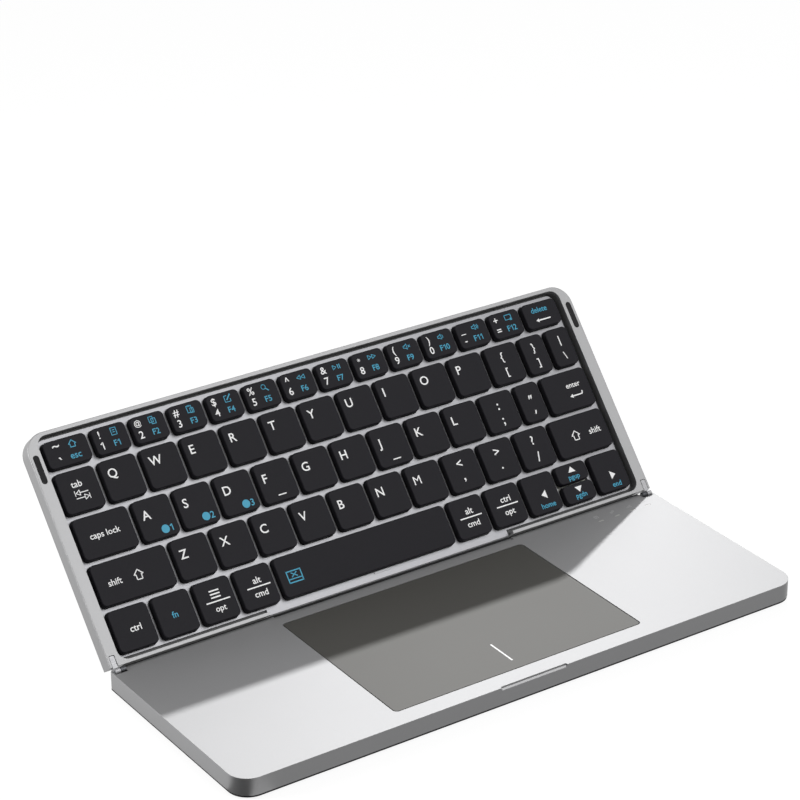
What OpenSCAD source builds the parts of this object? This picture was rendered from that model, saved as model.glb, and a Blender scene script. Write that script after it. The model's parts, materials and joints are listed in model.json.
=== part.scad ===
// Folding keyboard with a touchpad: a keyboard half hinged to a palm-rest half.
// Millimetres, +Z up. The origin is the centre of the footprint at the bottom of
// the rubber feet, with the object standing half open as in use: palm rest in
// front (-Y), keyboard leaning away behind it (+Y). X runs along the hinge.

/* [Overall] */
// Width of both halves, along the hinge
body_w = 250; // [244:0.5:262]
// Opening angle between the two halves, seen from the side
open_angle = 131.03; // [95:0.5:180]
// Radius of the four free outer corners
corner_r = 8.25; // [5:0.25:9]

/* [Palm rest half] */
// Thickness of the palm rest without its feet
palm_t = 7.85; // [7.6:0.05:9]
// Thickness of the palm rest's top skin
skin_t = 1.2; // [1:0.05:1.2]
// Thickness of the side walls
wall_t = 1.6; // [1.2:0.1:1.7]
// Thickness of the bottom cover
cover_t = 0.85; // [0.6:0.05:0.85]
// Height of the rubber feet
foot_h = 0.6; // [0.4:0.1:1.5]
// Width of the touchpad glass
pad_w = 110.6; // [90:0.2:111]
// Depth of the touchpad glass
pad_d = 75.2; // [60:0.2:75.4]
// Distance from the front edge to the touchpad glass
pad_front = 8.3; // [8:0.1:12]

/* [Keyboard half] */
// Thickness of the keyboard half
board_t = 6.85; // [6.85:0.05:8]
// Width of the rim left and right of the keys
rim_side = 4.95; // [4.9:0.05:5.2]
// Width of the rim along the far edge
rim_far = 1.65; // [1.2:0.05:1.8]
// Depth of the key plate below the rim
plate_drop = 3.1; // [3.1:0.05:3.2]
// Thickness of the key plate
plate_t = 0.8; // [0.5:0.05:0.8]

/* [Keys] */
// Spacing of the letter keys
letter_pitch = 17.6; // [17.2:0.05:17.7]
// Spacing of the number keys
number_pitch = 16.575; // [16:0.025:16.7]
// Spacing of the rows
row_pitch = 18.2; // [18.1:0.05:18.3]
// Gap between two neighbouring key tops
key_gap = 2.25; // [2:0.05:3]
// Front-to-back size of the short keys in the number row
short_key_d = 10.75; // [9:0.05:10.8]
// Corner radius of the key tops
key_r = 1.9; // [1:0.1:2.5]
// How far a key sinks when it is pressed
key_travel = 1.5; // [0.8:0.1:1.5]

/* [Hinge] */
// Radius of the hinge pins
pin_r = 0.6; // [0.4:0.05:0.65]
// Running clearance around the hinge pins, on the radius
pin_clear = 0.02; // [0.01:0.01:0.05]

/* [Hidden] */
$fn = 40;
eps = 0.01;
tilt = 180 - open_angle;
lift = 0.15;
axis_y = 88.63;
palm_d = axis_y + 1.45;
near_y = 1.8;
far_y = 93.33;
back_foot_h = 0.5;
edge = 0.1;
slot_x0 = body_w / 2 - 5.7;
slot_x1 = body_w / 2 - 0.7;
arm_x0 = body_w / 2 - 3.1;
arm_x1 = body_w / 2 - 1.1;
ear_x0 = body_w / 2 - 5.4;
ear_x1 = body_w / 2 - 3.4;
hole_in_x = body_w / 2 - rim_side;
hole_near = 3.03;
hole_far = far_y - rim_far;
tongue_w = 55.7;
keys_left = -118.55;
keys_span = 238;
keys_near = 5.38;
key_top = -0.1;
cap_bottom = -(plate_drop + 0.1);
dome_z = cap_bottom - key_travel - 0.1;
sheet_t = 0.2;
base_t = 0.5;
base_z = dome_z - 2 * sheet_t;
back_t = 0.85;
pad_drop = 0.05;
pad_glass_t = 1;
pad_board_t = 0.8;
tray_z = -(pad_drop + pad_glass_t + pad_board_t + 0.75);
tray_t = 0.6;
pcb_z = -5.6;
pcb_t = 0.8;
port_y = 68.5;
port_w = 8.94;
port_h = 3.2;
port_z = pcb_z + port_h / 2;
light_y = 80.9;
light_x = [93, 101, 109, 116.7];
overall_far = axis_y + (far_y - edge) * cos(tilt) + (board_t + lift) * sin(tilt);
half_depth = overall_far / 2;
screw_spots = [
  for (s = [-1, 1], p = [[59.9, 5.2], [59.9, 46], [59.9, 85.4], [120.8, 14], [120.8, 78]])
    [s * p[0], p[1]]
];
frame_screw_y = [12, 46, 88];

function run(count, pitch) = [for (i = [1:count]) pitch];
function total(list, n) = n <= 0 ? 0 : list[n - 1] + total(list, n - 1);
function fill(list) = concat(list, [keys_span - total(list, len(list))]);

// Pitch of every key from left to right; row 0 is nearest the hinge.
rows = [
  fill([18.45, letter_pitch, letter_pitch, letter_pitch, 80.45, letter_pitch,
        letter_pitch, 17.2, 16.85]),
  fill(concat([33.8], run(10, letter_pitch))),
  fill(concat([25.1], run(10, letter_pitch), [13.15])),
  fill(concat([18.45], run(10, letter_pitch), [17.35, 13.3])),
  fill(concat([20.25], run(12, number_pitch)))
];

function key_x0(row, i) = keys_left + total(rows[row], i);
function key_w(row, i) = rows[row][i] - key_gap;
function key_y0(row) = keys_near + row * row_pitch;
function key_d(row) = row == 4 ? short_key_d : row_pitch - 1.95;
split_gap = 0.8;
split_d = (key_d(0) - split_gap) / 2;

alu = [0.80, 0.80, 0.80];
dark = [0.17, 0.17, 0.18];
steel = [0.65, 0.66, 0.68];
green = [0.10, 0.33, 0.22];
glass = [0.50, 0.50, 0.48];
rubber = [0.12, 0.12, 0.12];

// ---- shared placing and outline helpers ----

// Palm-rest space: y = 0 at the front edge, z = 0 at the top face.
module in_palm() translate([0, -half_depth, foot_h + palm_t]) children();

// Keyboard space: y = 0 at the hinge axis, z = 0 at the top of the rim.
module in_board()
  translate([0, axis_y - half_depth, foot_h + palm_t + lift])
    rotate([tilt, 0, 0])
      translate([0, 0, -lift])
        children();

// Rounded rectangle between two corners.
module plate_2d(x0, x1, y0, y1, r) {
  translate([x0 + r, y0]) square([x1 - x0 - 2 * r, y1 - y0]);
  translate([x0, y0 + r]) square([x1 - x0, y1 - y0 - 2 * r]);
  for (x = [x0 + r, x1 - r], y = [y0 + r, y1 - r]) translate([x, y]) circle(r = r);
}

// Slab of a rounded rectangle whose top face is at z.
module slab(x0, x1, y0, y1, r, z, t)
  translate([0, 0, z - t]) linear_extrude(t) plate_2d(x0, x1, y0, y1, r);

// Plain block between two corners, top face at z.
module block(x0, x1, y0, y1, z, t)
  translate([x0, y0, z - t]) cube([x1 - x0, y1 - y0, t]);

// Outline of a half that is rounded at its free edge only; the free edge is at y0.
module half_2d(y0, y1, inset) {
  w = body_w / 2 - inset;
  r = corner_r - inset;
  translate([-w, y0 + inset + r]) square([2 * w, y1 - y0 - 2 * inset - r]);
  translate([-w + r, y0 + inset]) square([2 * w - 2 * r, y1 - y0 - 2 * inset]);
  for (s = [-1, 1]) translate([s * (w - r), y0 + inset + r]) circle(r = r);
}

// Cylinder along X from x0 to x1 at a given y and z.
module rod_x(x0, x1, y, z, r)
  translate([x0, y, z]) rotate([0, 90, 0]) cylinder(r = r, h = x1 - x0);

// The keyboard outline: its rounded free edge is the far one.
module board_2d(inset)
  translate([0, near_y + far_y]) mirror([0, 1]) half_2d(near_y, far_y, inset);

// ---- palm rest half ----

module palm_shell() color(alu) in_palm() {
  difference() {
    union() {
      difference() {
        translate([0, 0, -palm_t + cover_t])
          linear_extrude(palm_t - cover_t) half_2d(0, palm_d, 0);
        translate([0, 0, -palm_t])
          linear_extrude(palm_t - skin_t) half_2d(0, palm_d, wall_t);
      }
      for (p = screw_spots)
        translate([p[0], p[1], -palm_t + cover_t])
          cylinder(r = 1.9, h = palm_t - cover_t - skin_t + eps);
    }
    // touchpad opening
    slab(-pad_w / 2 - 0.3, pad_w / 2 + 0.3, pad_front - 0.3,
         pad_front + pad_d + 0.3, 1.8, 1, 3);
    // finger notch at the front edge, for opening the halves
    block(-14.8, 14.8, -1, 0.9, 1, 2.1);
    // charging port and status hole in the right end
    translate([body_w / 2 - 3, port_y, port_z]) rotate([90, 0, 90])
      linear_extrude(5)
        plate_2d(-port_w / 2 - 0.13, port_w / 2 + 0.13, -port_h / 2 - 0.13,
                 port_h / 2 + 0.13, 1.6);
    rod_x(body_w / 2 - 3, body_w / 2 + 1, 46.9, port_z, 0.8);
    // indicator windows
    for (x = light_x)
      slab(x - 1.35, x + 1.35, light_y - 0.5, light_y + 0.5, 0.45, 1, 3);
    // slots for the hinge knuckles, open to the rear
    for (s = [-1, 1])
      block(s > 0 ? slot_x0 : -slot_x1, s > 0 ? slot_x1 : -slot_x0,
            axis_y - 1.73, palm_d + 1, 3, 5.9);
    // threads for the case screws and the hinge screws
    for (p = screw_spots)
      translate([p[0], p[1], -palm_t]) cylinder(r = 0.8, h = 4.4);
    for (s = [-1, 1], x = [106, 113])
      translate([s * x, 86, -2]) cylinder(r = 0.7, h = 1.4);
    // ribbon cable exit in the rear wall
    block(64, 78, palm_d - 3, palm_d + 1, -4.3, 0.8);
  }
}

module bottom_cover() color(alu) in_palm() {
  difference() {
    translate([0, 0, -palm_t]) linear_extrude(cover_t) half_2d(0, palm_d, 0.3);
    for (p = screw_spots) {
      translate([p[0], p[1], -palm_t - 1]) cylinder(r = 0.9, h = 3);
      translate([p[0], p[1], -palm_t - eps]) cylinder(r = 1.5, h = 0.45);
    }
  }
}

module touchpad_glass() color(glass) in_palm()
  slab(-pad_w / 2, pad_w / 2, pad_front, pad_front + pad_d, 1.5, -pad_drop, pad_glass_t);

module touchpad_board() color(green) in_palm() {
  block(-pad_w / 2 + 2, pad_w / 2 - 2, pad_front + 1.2, pad_front + pad_d - 1.2,
        -pad_drop - pad_glass_t, pad_board_t);
}

module touchpad_tray() color(steel) in_palm() {
  difference() {
    block(-57.5, 57.5, pad_front - 1.5, pad_front + pad_d + 1.5, -skin_t,
          -skin_t - tray_z + tray_t);
    block(-56.9, 56.9, pad_front - 3, pad_front + pad_d + 3, -skin_t + eps,
          -skin_t - tray_z + eps);
    for (x = [-38, 0, 38])
      slab(x - 14, x + 14, 28, 74, 4, tray_z + 1, 3);
  }
}

module click_switch() color(dark) in_palm() {
  block(-3, 3, 13, 19, tray_z + 0.3, 0.3);
  translate([0, 16, tray_z + 0.3 - eps]) cylinder(r = 1.6, h = 0.1 + eps);
}

module main_board() color(green) in_palm() {
  difference() {
    union() {
      block(63, 122.4, 43, 75, pcb_z, pcb_t);
      block(63, 118, 75 - eps, 82.5, pcb_z, pcb_t);
      // processor, charger chip, radio can, connectors and coils
      block(70, 78, 50, 58, pcb_z + 1, 1 + eps);
      block(84, 89, 49, 54, pcb_z + 0.9, 0.9 + eps);
      block(95, 107, 47, 60, pcb_z + 1.6, 1.6 + eps);
      block(66, 76, 74, 77, pcb_z + 1, 1 + eps);
      block(84, 87, 62, 65, pcb_z + 1.2, 1.2 + eps);
      block(64.5, 69.5, 44, 46.5, pcb_z + 1.8, 1.8 + eps);
      for (x = light_x) block(x - 0.8, x + 0.8, light_y - 0.4, light_y + 0.4,
                              pcb_z + 0.5, 0.5 + eps);
    }
    translate([120.8, 78, pcb_z - 2]) cylinder(r = 2.3, h = 3);
    translate([59.9, 46, pcb_z - 2]) cylinder(r = 2.3, h = 3);
  }
}

module board_shield() color(steel) in_palm() {
  difference() {
    block(94.2, 107.8, 46.2, 60.8, pcb_z + 2, 2);
    block(94.5, 107.5, 46.5, 60.5, pcb_z + 1.8, 3);
  }
}

module pouch_cell(x0, x1, y0, y1) {
  slab(x0, x1, y0, y1 - 2.5, 1, -2, 4.4);
  block(x0 + 3, x1 - 3, y1 - 2.5 - eps, y1, -3.6, 0.8);
  for (x = [x0 + 14, x0 + 22]) block(x, x + 3, y1 - eps, y1 + 2, -3.9, 0.2);
}

module left_battery() color(steel) in_palm() pouch_cell(-117.5, -62.5, 12, 76);

module right_battery() color(steel) in_palm() pouch_cell(62.5, 117.5, 8, 38);

module usb_c_socket() color(steel) in_palm()
  translate([117.2, port_y, port_z]) rotate([90, 0, 90]) {
    difference() {
      linear_extrude(body_w / 2 - 117.2 - 0.25)
        plate_2d(-port_w / 2, port_w / 2, -port_h / 2, port_h / 2, 1.5);
      translate([0, 0, 1]) linear_extrude(20)
        plate_2d(-port_w / 2 + 0.3, port_w / 2 - 0.3, -port_h / 2 + 0.3,
                 port_h / 2 - 0.3, 1.2);
    }
    translate([-3.3, -0.35, 1 - eps]) cube([6.6, 0.7, 5.4]);
  }

module light_guides() color([0.9, 0.9, 0.9]) in_palm() {
  for (x = light_x)
    slab(x - 1.3, x + 1.3, light_y - 0.45, light_y + 0.45, 0.4, -0.02, -0.02 - pcb_z - 0.5);
  rod_x(121.5, body_w / 2 - 0.1, 46.9, port_z, 0.75);
}

module palm_magnets() color(dark) in_palm()
  for (s = [-1, 1]) translate([s * 105, 0, 0]) block(-8, 8, 2, 5, -skin_t, 3);

module palm_feet() color(rubber) in_palm()
  for (y = [3.6, 81.4])
    slab(-105, 105, y, y + 5, 2, -palm_t, foot_h);

module case_screws() color(steel) in_palm()
  for (p = screw_spots) translate([p[0], p[1], 0]) {
    difference() {
      translate([0, 0, -palm_t]) cylinder(r = 1.45, h = 0.42);
      translate([0, 0, -palm_t - 0.1]) cylinder(r = 0.6, h = 0.3);
    }
    translate([0, 0, -palm_t + 0.42 - eps]) cylinder(r = 0.78, h = 3.2);
  }

module ribbon_cable() color([0.55, 0.36, 0.12]) in_palm() {
  block(65, 77, 77.5, palm_d - 0.2, pcb_z + 0.95, 0.2);
  block(65, 77, 75, 77.6, pcb_z + 1.2, 0.2);
  block(65, 77, 77.4, 77.6, pcb_z + 1.2, 0.45);
}

module bracket_right() {
  difference() {
    union() {
      block(102, ear_x1, 83.4, 88.2, -skin_t, 1.2);
      block(ear_x0, ear_x1, axis_y - 1.15, axis_y + 1.15, lift, 2.7);
      rod_x(ear_x0, ear_x1, axis_y, lift, 1.15);
    }
    rod_x(ear_x0 - 1, ear_x1 + 1, axis_y, lift, pin_r);
    for (x = [106, 113]) translate([x, 86, -4]) cylinder(r = 0.85, h = 4);
  }
}

module hinge_brackets() color(steel) in_palm() {
  bracket_right();
  mirror([1, 0, 0]) bracket_right();
}

module hinge_pins() color(steel) in_palm()
  for (s = [-1, 1])
    rod_x(s > 0 ? ear_x0 : -arm_x1 - 0.1, s > 0 ? arm_x1 + 0.1 : -ear_x0,
          axis_y, lift, pin_r);

module hinge_screws() color(steel) in_palm()
  for (s = [-1, 1], x = [106, 113]) translate([s * x, 86, 0]) {
    translate([0, 0, -skin_t - 1.2 - 0.7]) cylinder(r = 1.3, h = 0.7);
    translate([0, 0, -skin_t - 1.2 - eps]) cylinder(r = 0.68, h = 1.7);
  }

// ---- keyboard half ----

module arm_pocket(gap)
  for (s = [-1, 1])
    block(s > 0 ? arm_x0 - gap : -arm_x1 - 0.15, s > 0 ? arm_x1 + 0.15 : -arm_x0 + gap,
          near_y - 1, 5.9 + gap, 1, 3.2);

module bumper_2d(gap)
  for (s = [-1, 1])
    translate([s * (body_w / 2 - 2.4), 0])
      plate_2d(-1.1 - gap, 1.1 + gap, 74 - gap, 85.2 + gap, 1.05 + gap);

module keyboard_frame() color(alu) in_board() {
  difference() {
    translate([0, 0, -board_t + back_t])
      linear_extrude(board_t - back_t) board_2d(0);
    slab(-hole_in_x, hole_in_x, hole_near, hole_far, 4.1, 1, board_t + 2);
    // the hinge-side bar is cut down in the middle for the key plate's tongue
    block(-tongue_w - 0.75, tongue_w + 0.75, near_y - 1, hole_near + 1, 1,
          plate_drop + plate_t + 1.05);
    arm_pocket(0.25);
    translate([0, 0, -1.2]) linear_extrude(3) bumper_2d(0.1);
    // pockets for the magnets and threads for the screws, from below
    for (s = [-1, 1]) {
      translate([s * (body_w / 2 - 2.5), 0, 0]) block(-1.3, 1.3, 54, 70, -3, 6);
      for (y = frame_screw_y)
        translate([s * (body_w / 2 - 2.5), y, -board_t]) cylinder(r = 0.6, h = 4.2);
    }
  }
}

module back_cover() color(alu) in_board() {
  difference() {
    union() {
      translate([0, 0, -board_t]) linear_extrude(back_t) board_2d(0.1);
      for (x = [-100, -50, 0, 50, 100], y = [12, 46, 80])
        translate([x, y, -board_t + back_t - eps])
          cylinder(r = 2, h = base_z - base_t + board_t - back_t + eps);
    }
    for (s = [-1, 1], y = frame_screw_y) translate([s * (body_w / 2 - 2.5), y, 0]) {
      translate([0, 0, -board_t - 1]) cylinder(r = 0.8, h = 3);
      translate([0, 0, -board_t - eps]) cylinder(r = 1.3, h = 0.4);
    }
  }
}

// Footprint of one key, grown by g on every side.
module key_2d(row, i, g)
  plate_2d(key_x0(row, i) - g, key_x0(row, i) + key_w(row, i) + g,
           key_y0(row) - g, key_y0(row) + key_d(row) + g, key_r + g);

module key_plate() color(alu) in_board() {
  difference() {
    translate([0, 0, -plate_drop - plate_t]) linear_extrude(plate_t) {
      plate_2d(-119.6, 118.7, 4.43, 90.73, 3);
      translate([-tongue_w, 1.85]) square([2 * tongue_w, 5]);
    }
    for (row = [0:4], i = [0:len(rows[row]) - 1])
      translate([0, 0, -plate_drop - 3]) linear_extrude(6) key_2d(row, i, 0.3);
  }
  // small raised stop below the space bar
  block(-6.9, 1, 4.3, 5, -plate_drop + 0.35, 0.36);
}

module spacer_frame() color(dark) in_board()
  difference() {
    slab(-hole_in_x + 0.1, hole_in_x - 0.1, hole_near + 0.1, hole_far - 0.1, 4,
         -plate_drop - plate_t, -plate_drop - plate_t - dome_z);
    slab(-118.95, 118, keys_near - 0.4, keys_near + 4 * row_pitch + short_key_d + 0.4,
         2.3, 1, 12);
  }

module sheet(z, t)
  slab(-hole_in_x + 0.25, hole_in_x - 0.25, hole_near + 0.25, hole_far - 0.25, 3.8, z, t);

module base_plate() color(steel) in_board() sheet(base_z, base_t);

module contact_membrane() color([0.6, 0.62, 0.6]) in_board() sheet(dome_z - sheet_t, sheet_t);

// Centres of all keys, the split arrow key giving two.
function key_mid(row, i, part) =
  [key_x0(row, i) + key_w(row, i) / 2,
   key_y0(row) + (part == 0 ? key_d(row) / 2 : part == 1 ? split_d / 2
                  : key_d(row) - split_d / 2)];
function inner_d(row, part) = part == 0 ? key_d(row) : split_d;
function dome_r(part) = part == 0 ? 1.7 : 0.95;
spots = [for (row = [0:4], i = [0:len(rows[row]) - 1], part = row == 0 && i == 8 ? [1, 2] : [0])
         [row, i, part]];

module dome_sheet() color([0.75, 0.75, 0.72]) in_board() {
  difference() {
    union() {
      sheet(dome_z, sheet_t);
      for (s = spots) translate(concat(key_mid(s[0], s[1], s[2]), [dome_z - eps]))
        cylinder(r1 = dome_r(s[2]), r2 = 0.65 * dome_r(s[2]), h = 1.7);
    }
    for (s = spots) translate(concat(key_mid(s[0], s[1], s[2]), [dome_z - 1]))
      cylinder(r1 = dome_r(s[2]) - 0.25, r2 = 0.45 * dome_r(s[2]), h = 2.2);
  }
}

// A scissor pair folded flat under its cap: an outer and an inner frame.
module scissor(w, d) {
  difference() {
    block(-w / 2, w / 2, -d / 2, d / 2, 0.7, 0.65);
    block(-w / 2 + 0.9, w / 2 - 0.9, -d / 2 + 0.9, d / 2 - 0.9, 1, 2);
  }
  difference() {
    block(-w / 2 + 0.5, w / 2 - 0.5, -d / 2 + 0.3, d / 2 - 0.3, 1.4, 0.72);
    block(-w / 2 + 1.4, w / 2 - 1.4, -d / 2 + 1.2, d / 2 - 1.2, 2, 3);
  }
}

module scissor_links() color([0.85, 0.85, 0.82]) in_board()
  for (s = spots) {
    w = min(key_w(s[0], s[1]) - 4.2, 10.4);
    d = min(inner_d(s[0], s[2]) - 3, 9);
    translate(concat(key_mid(s[0], s[1], s[2]), [dome_z])) scissor(w, d);
  }

// Wire bar that keeps a wide key level, lying along the cap's far wall.
module bar(row, i) {
  x0 = key_x0(row, i) + 2.2;
  x1 = key_x0(row, i) + key_w(row, i) - 2.2;
  y1 = key_y0(row) + key_d(row) - 2;
  rod_x(x0, x1, y1, dome_z + 0.8, 0.35);
  for (x = [x0 + 0.35, x1 - 0.35])
    translate([x, y1 - 4, dome_z + 0.8]) rotate([-90, 0, 0]) cylinder(r = 0.35, h = 4);
}

module stabiliser_bars() color(steel) in_board() {
  bar(0, 4);
  bar(1, 0);
  bar(1, 11);
  bar(2, 0);
  bar(2, 12);
}

module rim_bumpers() color(rubber) in_board()
  translate([0, 0, -1.2]) linear_extrude(1.4) bumper_2d(0);

module back_feet() color(rubber) in_board()
  for (s = [-1, 1])
    slab(s > 0 ? 88 : -108, s > 0 ? 108 : -88, 84, 87, 1.45, -board_t, back_foot_h);

module keyboard_magnets() color(dark) in_board()
  for (s = [-1, 1]) translate([s * (body_w / 2 - 2.5), 0, 0]) block(-1.2, 1.2, 54.1, 69.9, -3.05, 2.9);

module frame_screws() color(steel) in_board()
  for (s = [-1, 1], y = frame_screw_y) translate([s * (body_w / 2 - 2.5), y, 0]) {
    difference() {
      translate([0, 0, -board_t]) cylinder(r = 1.25, h = 0.38);
      translate([0, 0, -board_t - 0.1]) cylinder(r = 0.5, h = 0.3);
    }
    translate([0, 0, -board_t + 0.38 - eps]) cylinder(r = 0.58, h = 3.2);
  }

module arm_right() {
  difference() {
    union() {
      block(arm_x0, arm_x1, 0, 5.9, -0.05, 2.15);
      rod_x(arm_x0, arm_x1, 0, lift, 1.25);
    }
    rod_x(arm_x0 - 1, arm_x1 + 1, 0, lift, pin_r + pin_clear);
  }
}

module hinge_arms() color(steel) in_board() {
  arm_right();
  mirror([1, 0, 0]) arm_right();
}

// ---- keys ----

// One hollow key cap over a rectangle.
module cap(x0, x1, y0, y1) {
  difference() {
    slab(x0, x1, y0, y1, key_r, key_top, key_top - cap_bottom);
    slab(x0 + 1, x1 - 1, y0 + 1, y1 - 1, key_r - 0.9, key_top - 1, 5);
  }
}

module key(row, i)
  cap(key_x0(row, i), key_x0(row, i) + key_w(row, i), key_y0(row), key_y0(row) + key_d(row));

module key_run(row, first, last) color(dark) in_board() for (i = [first:last]) key(row, i);

// The split arrow key: y offset from the front of its row.
module half_key(offset) color(dark) in_board()
  cap(key_x0(0, 8), key_x0(0, 8) + key_w(0, 8), key_y0(0) + offset,
      key_y0(0) + offset + split_d);

module left_ctrl_key() key_run(0, 0, 0);
module fn_key() key_run(0, 1, 1);
module menu_key() key_run(0, 2, 2);
module left_alt_key() key_run(0, 3, 3);
module space_bar() key_run(0, 4, 4);
module right_alt_key() key_run(0, 5, 5);
module right_ctrl_key() key_run(0, 6, 6);
module left_arrow_key() key_run(0, 7, 7);
module down_arrow_key() half_key(0);
module up_arrow_key() half_key(split_d + split_gap);
module right_arrow_key() key_run(0, 9, 9);
module left_shift_key() key_run(1, 0, 0);
module lower_letter_keys_left() key_run(1, 1, 5);
module lower_letter_keys_right() key_run(1, 6, 10);
module right_shift_key() key_run(1, 11, 11);
module caps_lock_key() key_run(2, 0, 0);
module middle_letter_keys_left() key_run(2, 1, 5);
module middle_letter_keys_right() key_run(2, 6, 11);
module enter_key() key_run(2, 12, 12);
module tab_key() key_run(3, 0, 0);
module upper_letter_keys_left() key_run(3, 1, 5);
module upper_letter_keys_right() key_run(3, 6, 10);
module bracket_keys() key_run(3, 11, 13);
module esc_key() key_run(4, 0, 0);
module number_keys_left() key_run(4, 1, 6);
module number_keys_right() key_run(4, 7, 12);
module delete_key() key_run(4, 13, 13);

palm_shell();
bottom_cover();
touchpad_glass();
touchpad_board();
touchpad_tray();
click_switch();
main_board();
left_battery();
right_battery();
usb_c_socket();
light_guides();
palm_magnets();
palm_feet();
case_screws();
ribbon_cable();
hinge_brackets();
hinge_pins();
hinge_screws();
keyboard_frame();
back_cover();
key_plate();
spacer_frame();
base_plate();
contact_membrane();
dome_sheet();
scissor_links();
stabiliser_bars();
rim_bumpers();
back_feet();
keyboard_magnets();
frame_screws();
hinge_arms();
board_shield();
esc_key();
tab_key();
caps_lock_key();
left_shift_key();
left_ctrl_key();
fn_key();
menu_key();
left_alt_key();
space_bar();
right_alt_key();
right_ctrl_key();
left_arrow_key();
up_arrow_key();
down_arrow_key();
right_arrow_key();
right_shift_key();
enter_key();
delete_key();
number_keys_left();
number_keys_right();
upper_letter_keys_left();
upper_letter_keys_right();
bracket_keys();
middle_letter_keys_left();
middle_letter_keys_right();
lower_letter_keys_left();
lower_letter_keys_right();
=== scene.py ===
"""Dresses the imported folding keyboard: a palm rest with a touchpad, hinged to a rimmed keyboard half.

All sizes of the keyboard are millimetres in two work spaces, and every finished mesh is laid in metres:
palm space has y = 0 at the palm rest's front edge and z = 0 at its top face, and keyboard space has
y = 0 at the hinge axis and z = 0 at the top of the rim, with the keyboard half lying flat.
"""

import json
import logging
import math
from dataclasses import dataclass, field, replace
from enum import Enum
from typing import Callable, Iterable, Sequence

import bpy
from mathutils import Matrix, Vector

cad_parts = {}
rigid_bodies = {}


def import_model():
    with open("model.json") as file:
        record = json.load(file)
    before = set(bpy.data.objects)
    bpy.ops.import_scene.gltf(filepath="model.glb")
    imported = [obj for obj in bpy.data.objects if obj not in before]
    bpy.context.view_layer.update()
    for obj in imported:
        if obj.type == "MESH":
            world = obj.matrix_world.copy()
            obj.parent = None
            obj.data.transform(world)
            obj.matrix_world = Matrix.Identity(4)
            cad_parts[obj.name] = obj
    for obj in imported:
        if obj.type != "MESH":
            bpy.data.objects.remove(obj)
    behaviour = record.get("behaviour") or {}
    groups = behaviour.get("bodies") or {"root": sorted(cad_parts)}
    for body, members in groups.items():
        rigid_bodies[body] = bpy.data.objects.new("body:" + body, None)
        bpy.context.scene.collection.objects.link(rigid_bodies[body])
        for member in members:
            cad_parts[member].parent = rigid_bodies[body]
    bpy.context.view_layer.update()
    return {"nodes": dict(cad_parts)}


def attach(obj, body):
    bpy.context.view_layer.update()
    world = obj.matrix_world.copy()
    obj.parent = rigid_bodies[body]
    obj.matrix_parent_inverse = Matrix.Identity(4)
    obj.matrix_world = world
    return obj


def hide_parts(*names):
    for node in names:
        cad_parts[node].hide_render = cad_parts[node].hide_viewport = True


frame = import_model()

log = logging.getLogger("folding_keyboard")

MM = 0.001
NEAR = 1e-3  # places closer than this count as one
AXES = (0, 1, 2)
OPENING = 131.03  # degrees between the two halves, as in the photo
TILT = math.radians(180.0 - OPENING)
AXIS_Y = 88.63  # the hinge axis in palm space
LIFT = 0.15  # the hinge axis above both top faces
FOOT = 0.6  # the palm rest's rubber strips
PALM_THICK = 7.85
BOARD_THICK = 6.85
PALM_TOP = FOOT + PALM_THICK
FAR = 93.33  # the keyboard half's outer edge in keyboard space
COVER_INSET = 0.1  # how far the outer cover stays inside the rim's outline
HALF_DEPTH = (AXIS_Y + (FAR - COVER_INSET) * math.cos(TILT) + (BOARD_THICK + LIFT) * math.sin(TILT)) / 2.0

PALM_SPACE = Matrix.Translation((0.0, -HALF_DEPTH * MM, PALM_TOP * MM)) @ Matrix.Scale(MM, 4)
BOARD_SPACE = (
    Matrix.Translation((0.0, (AXIS_Y - HALF_DEPTH) * MM, (PALM_TOP + LIFT) * MM))
    @ Matrix.Rotation(TILT, 4, "X")
    @ Matrix.Translation((0.0, 0.0, -LIFT * MM))
    @ Matrix.Scale(MM, 4)
)

Plan = tuple[float, float]
Point = tuple[float, float, float]
Colour = tuple[float, float, float, float]
Place = tuple[int, int, int]  # a key's row, its number in the row, and 0, or the split key's half
Piece = bpy.types.Object
Tree = bpy.types.NodeTree
Socket = bpy.types.NodeSocket
PlaceTest = Callable[[Vector], bool]
EdgeTest = Callable[[Vector, Vector], bool]

WHITE: Colour = (1.0, 1.0, 1.0, 1.0)


# ---------------------------------------------------------------- colour and nodes


def linear(code: str) -> Colour:
    """Turn an sRGB hex colour into the linear one that Blender's sockets hold.

    Args:
        code: The colour as "#rrggbb".

    Returns:
        The linear red, green, blue and an alpha of 1.
    """
    values = [int(code[i : i + 2], 16) / 255.0 for i in (1, 3, 5)]
    r, g, b = [v / 12.92 if v <= 0.04045 else ((v + 0.055) / 1.055) ** 2.4 for v in values]
    return (r, g, b, 1.0)


def fill(tree: Tree, node: bpy.types.Node, inputs: dict) -> None:
    """Fill or link a node's inputs.

    Args:
        tree: The node tree.
        node: The node.
        inputs: Input name or number to a value, or to a socket to link from.
    """
    for name, value in inputs.items():
        if isinstance(value, Socket):
            tree.links.new(value, node.inputs[name])
        else:
            node.inputs[name].default_value = value


def add_node(tree: Tree, kind: str, inputs: dict | None = None, **settings) -> bpy.types.Node:
    """Add a node, set its fields and fill or link its inputs.

    Args:
        tree: The node tree that gets the node.
        kind: The node's Blender type name.
        inputs: Input name or number to a value, or to a socket to link from.
        **settings: Fields of the node, such as operation.

    Returns:
        The new node.
    """
    node = tree.nodes.new(kind)
    for name, value in settings.items():
        setattr(node, name, value)
    fill(tree, node, inputs or {})
    return node


def emptied(owner: bpy.types.Material | bpy.types.World) -> Tree:
    """Give a new material or world its node tree, with no node in it.

    Args:
        owner: The material or world.

    Returns:
        The empty tree.
    """
    owner.use_nodes = True
    owner.node_tree.nodes.clear()
    return owner.node_tree


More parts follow.
